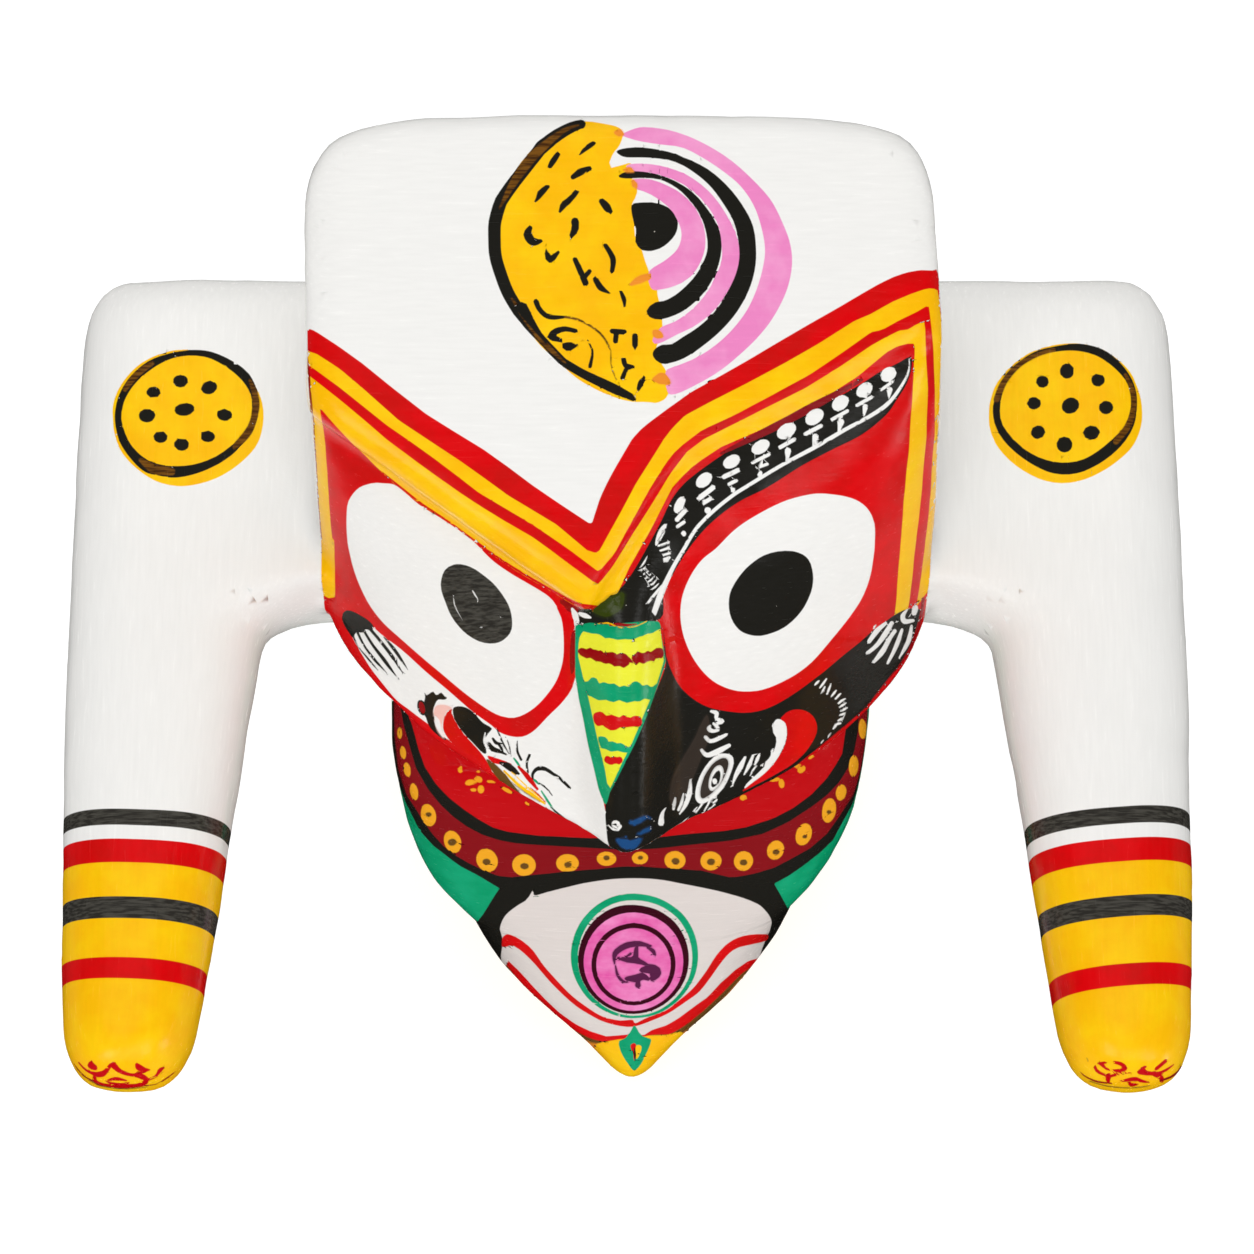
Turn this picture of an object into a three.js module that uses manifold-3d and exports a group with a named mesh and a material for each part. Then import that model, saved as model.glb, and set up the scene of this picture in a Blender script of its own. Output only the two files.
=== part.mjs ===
// Painted wooden figure of Jagannath, carved from one block of soft wood: a broad head with a sloping
// crown and a V-shaped brow, two arms bent forward, and a waisted body on a pointed flat base.
// Millimetres, +Z up. The face looks along -Y. The origin is on the underside, at the middle of the
// box around the figure.

import * as THREE from 'three';
import { mergeVertices } from 'three/addons/utils/BufferGeometryUtils.js';
import Module from 'manifold-3d';

const wasm = await Module();
wasm.setup();

// Driving dimensions of the head
const headWidth = 107;
const headOffset = -0.8;
const headBack = 69;
const headUnderside = 92;
const headSideRounding = 6;
const crownPitch = 0.467;
const crownBow = 2;
const crownBackRounding = 9;
const crownBackDrop = 0.55;
const crownBackSwell = 0.35;
const backCornerRounding = 9;

// Seen from above, the right side of the head is bowed: it stands out beside the eye and draws in behind
const sideBow = 1.3;
const sideBowMiddle = 18;
const sideBowReach = 28;
const sideDrawnIn = 0.9;

// The brow is the front edge of the crown. Its point stands a little to one side of the nose.
const browPoint = { x: -5.5, y: -9, z: 145 };
const browLeftEnd = { x: -54, y: 23 };
const browRightBend = { x: 12, y: 14.5 };
const browRightEnd = { x: 52.5, y: 33.5 };
const browSwing = 0.25;
const browRounding = 2.6;
const ledgeLeft = 7;
const ledgeRight = 1.6;
const ledgeUndercut = 1.5;
const ledgeFold = 6;

// The face leans back from its lower edge, more at the nose than at the cheeks
const faceFoot = 105;
const faceFront = -40.2;
const ridgeRounding = 0.05;
const cheekLeft = { front: 1.5, bulge: 0.3 };
const cheekRight = { front: -3, bulge: 0.38 };
const cheekSweep = 4.3;
const faceLeanNose = 0.94;
const faceLeanLeft = 0.53;
const faceLeanRight = 0.64;
const lipRounding = 3;
const chinRise = 3.2;

// The nose stands on the middle of the face and thickens towards its tip
const noseHalfWidth = 10;
const noseFoot = 1.6;
const noseRoot = -1;
const noseAtTip = 6.4;
const noseAtBrow = 2.2;
const noseTipDrop = 0.12;
const noseTipShare = 0.6;

// The arms run out from the sides of the head and bend forward
const armSpan = 199;
const armWidest = -8;
const armTipTaper = 2.3;
const armBackTaper = 1;
const armHeight = 105;
const armThickness = 28;
const armTipThickness = 25;
const armBack = 64;
const armTip = -83.5;
const armCornerRounding = 11;
const armpit = 5;
const armpitRounding = 8;
const elbowWidth = 35.6;
const armTipWidth = 20.5;
const armInset = 12;
const armRoundness = 0.86;
const armTipBluntness = 0.5;
const elbowBackShare = 0.35;

// The body stands under the head and the elbows
const bodyHeight = 106;
const bodyHalfWidth = 44.2;
const bodyFront = -62.5;
const bodyBack = 62;
const bodyOffset = 0.8;
const bodyLeftFullness = 0.5;
const pointSlimming = 0.25;

// The point's sides are hollowed at its end, from one share of the way forward to another
const pointHollow = 0.21;
const pointHollowFrom = 0.78;
const pointHollowTo = 0.95;

// The body from the sole upwards, as shares of its four lengths. point says how pointed the front is,
// and square how square the cut is, from 2 for an egg to 6 for a rounded box.
const bodySections = [
  { rise: 0, half: 0.86, front: 0.912, back: 0.79, point: 0.5, square: 2 },
  { rise: 0.028, half: 0.905, front: 0.984, back: 0.823, point: 0.54, square: 2 },
  { rise: 0.085, half: 0.921, front: 1, back: 0.839, point: 0.5, square: 2 },
  { rise: 0.189, half: 0.914, front: 0.928, back: 0.806, point: 0.24, square: 2.15 },
  { rise: 0.292, half: 0.873, front: 0.816, back: 0.774, point: 0.12, square: 2.6 },
  { rise: 0.396, half: 0.869, front: 0.728, back: 0.774, point: 0.05, square: 3.3 },
  { rise: 0.519, half: 0.95, front: 0.648, back: 0.839, point: 0, square: 4 },
  { rise: 0.66, half: 1, front: 0.56, back: 0.935, point: 0, square: 4.2 },
  { rise: 0.83, half: 0.986, front: 0.464, back: 1, point: 0, square: 4.2 },
  { rise: 1, half: 0.86, front: 0.224, back: 0.968, point: 0, square: 4 },
];

// How finely each form is cut
const faceSteps = 10;
const crownSteps = 5;
const backSteps = 4;
const cheekSteps = 9;
const noseSteps = 6;
const forearmSteps = 9;
const shoulderSteps = 5;
const armSides = 30;
const bodyLevels = 22;
const bodySides = 48;

const lerp = THREE.MathUtils.lerp;
const clamp = THREE.MathUtils.clamp;
const headHalf = headWidth / 2;

// Turns a row of rings, each with as many points, into a closed skin with a fan over both ends
function loft(rings) {
  const count = rings[0].length;
  const points = rings.flat();
  const faces = [];
  for (let i = 0; i < rings.length - 1; i += 1) {
    for (let j = 0; j < count; j += 1) {
      const a = i * count + j;
      const b = i * count + ((j + 1) % count);
      faces.push(a, b, b + count);
      faces.push(a, b + count, a + count);
    }
  }
  for (const end of [0, rings.length - 1]) {
    const middle = new THREE.Vector3();
    rings[end].forEach((point) => middle.addScaledVector(point, 1 / count));
    points.push(middle);
    for (let j = 0; j < count; j += 1) {
      const a = end * count + j;
      const b = end * count + ((j + 1) % count);
      faces.push(...(end === 0 ? [points.length - 1, b, a] : [points.length - 1, a, b]));
    }
  }
  const geometry = new THREE.BufferGeometry().setFromPoints(points);
  geometry.setIndex(faces);
  return geometry;
}

// A closed geometry as a solid that can be joined to others
function solidOf(geometry) {
  const merged = mergeVertices(geometry, 1e-5);
  const mesh = new wasm.Mesh({
    numProp: 3,
    vertProperties: new Float32Array(merged.attributes.position.array),
    triVerts: new Uint32Array(merged.index.array),
  });
  return new wasm.Manifold(mesh);
}

// The smaller of two heights, with the fold between them rounded over about the given size
function softMin(a, b, size) {
  const share = clamp(0.5 + (0.5 * (b - a)) / size, 0, 1);
  return lerp(b, a, share) - size * share * (1 - share);
}

// A sine or cosine bent so that a circle becomes a rounded box of the given squareness
function rounded(wave, square) {
  return Math.sign(wave) * Math.abs(wave) ** (2 / square);
}

// How far towards the side of the head a place is: 0 at the middle, 1 at the cheek
function aside(x) {
  return Math.min(Math.abs(x) / headHalf, 1);
}

// The back of the head, with its upright corners rounded off
function backY(x) {
  return headBack - backCornerRounding * (1 - Math.sqrt(1 - aside(x) ** 6));
}

// How far the right side of the head stands out, seen from above
function bowOut(x, y) {
  const bow = sideBow * (1 - ((y - sideBowMiddle) / sideBowReach) ** 2);
  return Math.max(bow, -sideDrawnIn) * clamp(x / headHalf, 0, 1) ** 4;
}

// The front edge of the crown, seen from above
function browY(x) {
  if (x < browPoint.x) {
    const share = (browPoint.x - x) / (browPoint.x - browLeftEnd.x);
    return lerp(browPoint.y, browLeftEnd.y, share);
  }
  if (x < browRightBend.x) {
    const share = (x - browPoint.x) / (browRightBend.x - browPoint.x);
    const swung = lerp(share, Math.sin((share * Math.PI) / 2), browSwing);
    return lerp(browPoint.y, browRightBend.y, swung);
  }
  const share = (x - browRightBend.x) / (browRightEnd.x - browRightBend.x);
  return lerp(browRightBend.y, browRightEnd.y, share);
}

// The sloping top of the head
function crownZ(x, y) {
  return browPoint.z + crownPitch * (y - browPoint.y) - crownBow * aside(x) ** 2;
}

// The lower edge of the face, a blunt prow seen from above
function faceEdgeY(x) {
  const blunt = Math.hypot(aside(x), ridgeRounding) - ridgeRounding;
  const share = blunt / (Math.hypot(1, ridgeRounding) - ridgeRounding);
  const cheek = x < 0 ? cheekLeft : cheekRight;
  return lerp(faceFront, cheek.front, (1 - cheek.bulge) * share + cheek.bulge * share ** cheekSweep);
}

function faceLean(x) {
  const share = aside(x) ** 2;
  return lerp(faceLeanNose, x < 0 ? faceLeanLeft : faceLeanRight, share);
}

// The face under the brow: the leaning cheek, kept below the crown by the ledge of the brow
function faceZ(x, y) {
  const side = clamp((x - browPoint.x) / (browRightBend.x - browPoint.x), 0, 1);
  const ledge = lerp(ledgeLeft, ledgeRight, side);
  const cheek = faceFoot + (y - faceEdgeY(x)) / faceLean(x);
  return softMin(cheek, crownZ(x, y) - ledge, ledgeFold);
}

// How far the nose stands out, at a share of the way from the lip to the brow
function nosePride(x, share) {
  const axis = lerp(noseFoot, noseRoot, share);
  const across = clamp(Math.abs(x - axis) / noseHalfWidth, 0, 1);
  const swell = (1 - across ** 2) ** 2;
  const rise = share < noseTipDrop
    ? lerp(noseTipShare, 1, share / noseTipDrop) * noseAtTip
    : lerp(noseAtTip, noseAtBrow, (share - noseTipDrop) / (1 - noseTipDrop));
  return swell * rise;
}

// One upright cut through the head, from the lip up the face, over the crown and down the back
function headSection(x) {
  const outline = [];
  const edge = faceEdgeY(x);
  const brow = browY(x);
  const wallFoot = Math.max(brow + ledgeUndercut, edge + 2);
  const lean = faceLean(x);
  const out = new THREE.Vector2(-1, lean).normalize();
  const chin = headUnderside + chinRise * (1 - aside(x) ** 2);
  outline.push([edge + lipRounding * 4, chin]);
  outline.push([edge + lipRounding * 1.6, faceFoot - lipRounding * 1.25]);
  outline.push([edge + lipRounding * 0.55, faceFoot - lipRounding * 0.8]);
  for (let i = 0; i <= faceSteps; i += 1) {
    const share = i / faceSteps;
    const y = lerp(edge, wallFoot, share);
    const pride = nosePride(x, share);
    const height = faceZ(x, y) + (i === 0 ? lipRounding * 0.3 : 0);
    outline.push([y + out.x * pride, height + out.y * pride]);
  }
  const top = crownZ(x, brow);
  outline.push([brow, Math.max(top - browRounding, faceZ(x, wallFoot) + 0.6)]);
  outline.push([brow + browRounding * 0.25, top - browRounding * 0.15]);
  outline.push([brow + browRounding * 1.3, top + browRounding * 0.75]);
  const back = backY(x);
  const crownEnd = back - crownBackRounding;
  for (let i = 1; i <= crownSteps; i += 1) {
    const y = lerp(brow + browRounding * 1.3, crownEnd, i / crownSteps);
    outline.push([y, crownZ(x, y)]);
  }
  const shoulder = crownZ(x, crownEnd) - crownBackRounding * crownBackDrop;
  for (const turn of [0.25, 0.5, 0.75, 1]) {
    const angle = (turn * Math.PI) / 2;
    const swell = crownBackDrop + crownBackSwell * Math.sin(2 * angle);
    outline.push([
      crownEnd + crownBackRounding * Math.sin(angle),
      shoulder + crownBackRounding * swell * Math.cos(angle),
    ]);
  }
  for (let i = 1; i <= backSteps; i += 1) {
    outline.push([back, lerp(shoulder, headUnderside + lipRounding, i / backSteps)]);
  }
  outline.push([back - lipRounding, headUnderside]);
  outline.push([lerp(edge, back, 0.6), headUnderside]);
  return outline;
}

// The places across the head where it is cut: close together at the nose and at the rounded sides
function headStations() {
  const stations = [];
  const flat = headHalf - headSideRounding;
  const noseReach = noseHalfWidth + noseFoot;
  for (const turn of [1, 0.78, 0.52, 0.26]) {
    const angle = (turn * Math.PI) / 2;
    stations.push({ x: flat + headSideRounding * Math.sin(angle), inset: 1 - Math.cos(angle) });
  }
  for (let i = 0; i < cheekSteps; i += 1) {
    stations.push({ x: lerp(flat, noseReach, i / cheekSteps), inset: 0 });
  }
  for (let i = 0; i < noseSteps; i += 1) {
    stations.push({ x: lerp(noseReach, 0, i / noseSteps), inset: 0 });
  }
  const mirrored = stations.map((station) => ({ x: -station.x, inset: station.inset })).reverse();
  return [...stations, { x: 0, inset: 0 }, ...mirrored];
}

function makeHead() {
  const rings = headStations().map(({ x, inset }) => {
    const section = headSection(x);
    const middle = { y: (faceEdgeY(x) + headBack) / 2, z: (headUnderside + crownZ(x, headBack)) / 2 };
    const reach = (crownZ(x, headBack) - headUnderside) / 2;
    const keep = 1 - (inset * headSideRounding) / reach;
    return section.map(([y, z]) => new THREE.Vector3(
      x + headOffset + bowOut(x, y),
      middle.y + (y - middle.y) * keep,
      middle.z + (z - middle.z) * keep,
    ));
  });
  return solidOf(loft(rings));
}

// The body, a stack of egg-shaped cuts whose small end is the point at the front
function makeBody() {
  const fields = ['rise', 'half', 'front', 'back', 'point', 'square'];
  const tracks = fields.map((name) => new THREE.SplineCurve(
    bodySections.map((section, i) => new THREE.Vector2(i, section[name])),
  ));
  const rings = [];
  for (let i = 0; i <= bodyLevels; i += 1) {
    const shares = tracks.map((track) => track.getPoint(i / bodyLevels).y);
    const [rise, half, front, back, point, square] = shares;
    const z = Math.max(rise * bodyHeight, 0);
    const middle = (front * bodyFront + back * bodyBack) / 2;
    const reach = (back * bodyBack - front * bodyFront) / 2;
    const slimming = 1 + pointSlimming * point ** 2;
    const hollow = pointHollow * Math.min(point / bodySections[0].point, 1) ** 2;
    const ring = [];
    for (let j = 0; j < bodySides; j += 1) {
      const angle = (j / bodySides) * Math.PI * 2;
      const cut = Math.cos(angle) < 0 ? square + (square - 2) * bodyLeftFullness : square;
      const forward = -rounded(Math.sin(angle), cut);
      const width = half * bodyHalfWidth * rounded(Math.cos(angle), cut);
      const kept = 1 - hollow * THREE.MathUtils.smoothstep(forward, pointHollowFrom, pointHollowTo);
      const x = (width * kept * (1 - point * forward)) / slimming;
      ring.push(new THREE.Vector3(x + bodyOffset, middle - reach * forward, z));
    }
    rings.push(ring);
  }
  return solidOf(loft(rings));
}

// One arm, cut across at each place along Y. side is 1 on the right of the picture and -1 on the left.
function makeArm(side) {
  const outer = armSpan / 2;
  const root = headHalf - armInset;
  const rings = [];
  const tipRounding = armTipWidth / 2;
  const stations = [];
  for (const turn of [0.06, 0.3, 0.55, 0.8]) {
    const angle = (turn * Math.PI) / 2;
    const y = armTip + tipRounding * (1 - Math.cos(angle));
    stations.push({ y, round: Math.sin(angle) ** armTipBluntness });
  }
  const forearmStart = armTip + tipRounding;
  for (let i = 0; i < forearmSteps; i += 1) {
    stations.push({ y: lerp(forearmStart, armpit - armpitRounding, i / forearmSteps), round: 1 });
  }
  for (const turn of [0, 0.3, 0.55, 0.75, 0.9, 1]) {
    stations.push({ y: armpit - armpitRounding * (1 - turn), round: 1 });
  }
  const shoulderEnd = armBack - armCornerRounding;
  for (let i = 1; i <= shoulderSteps; i += 1) {
    stations.push({ y: lerp(armpit, shoulderEnd, i / shoulderSteps), round: 1 });
  }
  for (const turn of [0.75, 0.5, 0.28, 0.08]) {
    const angle = (turn * Math.PI) / 2;
    stations.push({ y: armBack - armCornerRounding * (1 - Math.cos(angle)), round: Math.sin(angle) });
  }
  for (const { y, round } of stations) {
    const along = clamp((y - armTip) / (armpit - armTip), 0, 1);
    const width = lerp(armTipWidth, elbowWidth, along ** 0.8);
    const thickness = lerp(armTipThickness, armThickness, along);
    const bend = clamp((y - (armpit - armpitRounding)) / armpitRounding, 0, 1);
    const [end, taper] = y < armWidest ? [armTip, armTipTaper] : [armBack, armBackTaper];
    const edge = outer - taper * ((y - armWidest) / (end - armWidest)) ** 2;
    const forearmInner = edge - width;
    const web = 1 - Math.sqrt(1 - bend ** 2);
    const behind = y > shoulderEnd;
    const inner = lerp(forearmInner, root, web);
    const middleX = (inner + edge) / 2;
    const halfX = (edge - inner) / 2;
    const drawnIn = behind ? armCornerRounding * (1 - round) : halfX * (1 - round);
    const halfZ = (thickness / 2) * (behind ? lerp(elbowBackShare, 1, round) : round);
    const cheek = Math.min(halfX, thickness / 2);
    const ring = [];
    for (let j = 0; j < armSides; j += 1) {
      const angle = (j / armSides) * Math.PI * 2;
      const c = Math.cos(angle);
      const s = Math.sin(angle);
      const flatX = Math.sign(c) * (halfX - cheek);
      const x = flatX + Math.sign(c) * cheek * Math.abs(c) ** armRoundness;
      const kept = behind ? Math.min(x, halfX - drawnIn) : x * round;
      const z = armHeight + halfZ * Math.sign(s) * Math.abs(s) ** armRoundness;
      ring.push(new THREE.Vector3(side * (middleX + kept), y, z));
    }
    if (side > 0) {
      ring.reverse();
    }
    rings.push(ring);
  }
  return solidOf(loft(rings));
}

// Joins the three carved forms into the one block that they are
function makeFigure() {
  const carved = makeHead().add(makeBody()).add(makeArm(-1)).add(makeArm(1));
  const mesh = carved.getMesh();
  const geometry = new THREE.BufferGeometry();
  geometry.setAttribute('position', new THREE.BufferAttribute(new Float32Array(mesh.vertProperties), 3));
  geometry.setIndex(Array.from(mesh.triVerts));
  geometry.computeVertexNormals();
  const enamel = new THREE.MeshStandardMaterial({ color: 0xf2f1ee, roughness: 0.35, metalness: 0 });
  const figure = new THREE.Mesh(geometry, enamel);
  figure.name = 'figure';
  figure.position.y = -(headBack + armTip) / 2;
  return figure;
}

const jagannath = new THREE.Group();
jagannath.add(makeFigure());

export default jagannath;
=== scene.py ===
import math

import bpy
import numpy as np
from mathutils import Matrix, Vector


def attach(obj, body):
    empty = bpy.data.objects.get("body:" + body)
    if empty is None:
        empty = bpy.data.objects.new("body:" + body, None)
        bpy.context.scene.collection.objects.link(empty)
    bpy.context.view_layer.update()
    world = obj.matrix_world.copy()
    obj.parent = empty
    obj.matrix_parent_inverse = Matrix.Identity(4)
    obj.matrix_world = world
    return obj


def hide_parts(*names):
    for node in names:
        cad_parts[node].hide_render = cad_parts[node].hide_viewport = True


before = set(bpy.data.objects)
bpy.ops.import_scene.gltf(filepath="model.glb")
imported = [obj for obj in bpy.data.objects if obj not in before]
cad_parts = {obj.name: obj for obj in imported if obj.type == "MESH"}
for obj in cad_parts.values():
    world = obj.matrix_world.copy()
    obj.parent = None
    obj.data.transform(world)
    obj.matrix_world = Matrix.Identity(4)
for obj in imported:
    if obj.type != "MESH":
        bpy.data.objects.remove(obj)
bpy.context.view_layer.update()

# The decoration is set out on a square drawing that looks at the figure from the front and well above.
# Places and widths on it are in steps, about a sixth of a millimetre on the carving.
DRAWING = 1254
FOCAL = 4200
REACH = 0.750
TILT = math.radians(73)
AIM = Vector((0, 0.00725, 0.105))
EYE = AIM + REACH * Vector((0, -math.cos(TILT), math.sin(TILT)))
STEPS_PER_METRE = 6000

# Parts of the drawing are set out on enlarged sheets: the steps across and down where each sheet's
# corner lies, and how many times larger it is.
SHEETS = {
    "whole": (0, 0, 1),
    "forehead": (470, 100, 4.612),
    "right_brow": (600, 280, 4.127),
    "brow_fold": (600, 420, 5.4545),
    "brow_beads": (730, 340, 6.425),
    "left_cheek": (320, 560, 5.227),
    "right_cheek": (620, 560, 4.9),
    "nose": (560, 590, 5.227),
    "left_disc": (60, 330, 6.533),
    "right_disc": (960, 330, 6.533),
    "left_tip": (55, 980, 9.8),
    "right_tip": (1040, 980, 9.8),
    "base": (480, 860, 5.058),
}

# Each pot of enamel, with its colour as it dries on the wood
POTS = {
    "white": "F2F1EE",
    "cream": "DDD5D1",
    "yellow": "FDBC00",
    "amber": "F2A81C",
    "orange": "F0902A",
    "pink": "EE88C4",
    "rose": "E458A8",
    "blush": "F3C2B8",
    "red": "DE0007",
    "scarlet": "D60A10",
    "crimson": "C4000A",
    "dark_red": "96040C",
    "maroon": "8A1018",
    "lime": "ECEC34",
    "green": "009A68",
    "olive": "34400C",
    "blue": "1A4A80",
    "plum": "5A1F48",
    "wine": "3A0A1A",
    "sepia": "46290E",
    "umber": "6A4A1E",
    # Black with a painted brown sheen: a reflection on the gloss put into the colour
    "soot": "38302A",
    # Black with a painted grey sheen: a reflection on the gloss put into the colour
    "slate": "2E2C28",
    "black": "1F1E1A",
}
POT_ROWS = {pot: row for row, pot in enumerate(POTS)}

# How wide a coat's edge is, in steps, and wider for pots that were blended wet into their neighbours, and for
# the painted brown sheen, which fades into the black
CRISP_EDGE = 0.4
SOFT_EDGES = {"olive": 3.0, "blush": 1.5, "orange": 1.5, "sepia": 0.9, "blue": 1.6, "soot": 1.8,
              "umber": 0.9, "plum": 1.2}

# Each shape is laid over what is there. Under its sheet it has its pot, its kind and its places, then a
# stroke's widths along it, or the two radii and the turn of ovals, one round each place.
FOREHEAD_MARK = (
    ("forehead", (
        ("yellow", "wash", (540, 100, 600, 105, 680, 125, 705, 155, 690, 210, 660, 250, 640, 312, 700, 300,
         742, 292, 738, 345, 768, 400, 768, 440, 745, 490, 755, 560, 765, 650, 790, 690, 808, 740, 828, 800,
         832, 835, 858, 855, 868, 910, 880, 980, 887, 1040, 880, 1090, 858, 1150, 882, 1210, 905, 1250, 922,
         1320, 905, 1375, 860, 1398, 820, 1392, 755, 1392, 690, 1378, 600, 1345, 500, 1290, 430, 1230, 330,
         1140, 230, 1010, 160, 880, 115, 750, 100, 640, 110, 520, 150, 420, 210, 320, 300, 215, 400, 150,
         480, 108)),
        ("pink", "wash", (706, 155, 780, 126, 860, 128, 960, 150, 1080, 200, 1200, 275, 1300, 365, 1385,
         460, 1440, 560, 1475, 660, 1485, 760, 1460, 880, 1400, 1000, 1330, 1090, 1250, 1170, 1150, 1250,
         1050, 1310, 950, 1355, 912, 1345, 905, 1250, 960, 1225, 1040, 1190, 1120, 1140, 1200, 1070, 1270,
         980, 1320, 880, 1350, 780, 1360, 690, 1345, 590, 1310, 490, 1250, 400, 1170, 330, 1080, 270, 980,
         220, 880, 205, 780, 190, 706, 165)),
        ("black", "wash", (676, 236, 740, 218, 820, 222, 920, 240, 1000, 270, 1100, 320, 1190, 400, 1260,
         490, 1305, 580, 1320, 680, 1315, 780, 1285, 880, 1230, 980, 1160, 1060, 1080, 1130, 990, 1190, 900,
         1217, 850, 1195, 845, 1160, 880, 1130, 930, 1125, 985, 1090, 1050, 1050, 1120, 985, 1180, 900,
         1220, 810, 1240, 720, 1235, 640, 1215, 560, 1170, 480, 1110, 400, 1040, 340, 960, 290, 870, 270,
         790, 265, 710, 262)),
        ("pink", "wash", (722, 302, 780, 292, 860, 300, 940, 320, 1010, 350, 1090, 410, 1150, 480, 1200,
         560, 1235, 650, 1240, 740, 1215, 830, 1170, 910, 1120, 975, 1040, 1040, 960, 1080, 870, 1122, 842,
         1108, 882, 1050, 950, 1020, 1030, 960, 1090, 890, 1130, 820, 1160, 740, 1160, 660, 1145, 580, 1110,
         510, 1060, 450, 1000, 400, 920, 360, 830, 335, 745, 330)),
        ("black", "wash", (685, 350, 720, 332, 790, 330, 870, 345, 950, 375, 1030, 430, 1100, 510, 1145,
         590, 1160, 670, 1145, 760, 1100, 860, 1040, 930, 970, 980, 890, 1010, 835, 1005, 815, 970, 850,
         935, 900, 925, 960, 890, 1030, 820, 1075, 750, 1095, 680, 1085, 600, 1060, 530, 1020, 470, 960,
         410, 880, 370, 800, 360, 712, 362)),
        ("pink", "wash", (747, 370, 820, 365, 900, 390, 970, 430, 1030, 490, 1070, 560, 1085, 640, 1075,
         720, 1030, 800, 960, 850, 880, 875, 835, 868, 826, 790, 900, 740, 955, 690, 975, 630, 965, 570,
         930, 510, 880, 465, 820, 430, 765, 408)),
        ("black", "wash", (744, 487, 790, 472, 860, 475, 920, 500, 955, 550, 958, 590, 940, 630, 900, 670,
         850, 695, 800, 695, 770, 670, 762, 640, 770, 610, 755, 560)),
        ("orange", "stroke", (672, 150, 690, 152, 706, 160), (16, 34, 12)),
        ("orange", "stroke", (716, 322, 738, 322, 752, 330), (14, 30, 10)),
        ("orange", "stroke", (752, 372, 760, 392, 768, 404), (12, 30, 12)),
        ("orange", "stroke", (742, 850, 778, 830, 828, 812), (14, 40, 26)),
        ("orange", "stroke", (846, 1068, 868, 1082, 884, 1088), (14, 44, 20)),
        ("orange", "stroke", (850, 1290, 884, 1284, 914, 1300), (20, 56, 30)),
        ("black", "stroke", (512, 114, 470, 127, 400, 165, 330, 220), (44, 50, 58, 64)),
        ("black", "stroke", (140, 470, 116, 560, 112, 640, 118, 720, 140, 800, 175, 890, 225, 975), (60, 58,
         58)),
        ("black", "stroke", (430, 1208, 520, 1262, 600, 1300, 680, 1340, 755, 1375), (40, 40, 44, 46, 30)),
        ("black", "stroke", (330, 220, 195, 390, 140, 470), (60, 60, 60)),
        ("black", "stroke", (225, 975, 290, 1060, 430, 1208), (56, 40, 40)),
        ("sepia", "stroke", (500, 118, 430, 145, 330, 222, 255, 300, 192, 396, 135, 500), (6, 26, 42, 46,
         30, 6)),
        ("sepia", "stroke", (190, 910, 240, 985, 295, 1062, 355, 1135, 440, 1212), (6, 26, 26, 24, 6)),
        ("black", "stroke", (240, 960, 300, 1050, 350, 1115), (56, 30, 14)),
        ("black", "stroke", (570, 200, 540, 220, 505, 252), (22, 24, 10)),
        ("black", "stroke", (405, 250, 385, 280, 370, 305), (22, 30, 24)),
        ("black", "stroke", (552, 315, 510, 332, 475, 355), (24, 38, 24)),
        ("black", "stroke", (358, 400, 328, 428, 303, 465), (20, 34, 14)),
        ("black", "stroke", (492, 425, 462, 460, 432, 485, 415, 515), (26, 26, 34, 14)),
        ("black", "stroke", (608, 468, 628, 490, 650, 522), (30, 40, 20)),
        ("black", "stroke", (485, 560, 485, 595, 460, 642), (36, 34, 12)),
        ("black", "stroke", (280, 585, 266, 620, 290, 655, 328, 650), (20, 40, 40, 18)),
        ("black", "stroke", (350, 692, 370, 735, 408, 700), (16, 34, 14)),
        ("black", "stroke", (485, 735, 510, 790, 532, 845), (22, 28, 30)),
        ("black", "stroke", (552, 790, 530, 815), (24, 20)),
        ("black", "stroke", (625, 670, 660, 730, 655, 792), (20, 28, 20)),
        ("black", "stroke", (578, 825, 602, 865, 645, 893), (26, 30, 6)),
        ("black", "stroke", (693, 882, 710, 920, 712, 950), (14, 24, 12)),
        ("black", "stroke", (305, 930, 322, 968, 365, 1000, 440, 1000), (26, 22, 22, 12)),
        ("sepia", "stroke", (440, 1000, 510, 1018, 600, 1075, 645, 1150, 652, 1230, 675, 1292), (12, 9, 9,
         8, 4)),
        ("black", "stroke", (486, 1066, 440, 1056, 395, 1068, 375, 1092, 425, 1110), (20, 24, 30, 30, 16)),
        ("black", "stroke", (420, 1130, 455, 1138, 494, 1130), (14, 46, 12)),
        ("black", "stroke", (543, 1108, 565, 1160, 553, 1230), (6, 12, 18)),
        ("black", "stroke", (655, 1066, 710, 1070), (22, 26)),
        ("black", "stroke", (676, 1070, 670, 1112), (22, 26)),
        ("black", "stroke", (762, 1088, 760, 1142), (28, 28)),
        ("black", "stroke", (708, 1195, 718, 1225, 750, 1232), (22, 22, 20)),
        ("black", "stroke", (722, 1235, 704, 1282), (18, 24)),
        ("black", "stroke", (800, 1280, 790, 1300, 776, 1332), (18, 30, 18)),
    )),
)

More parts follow.
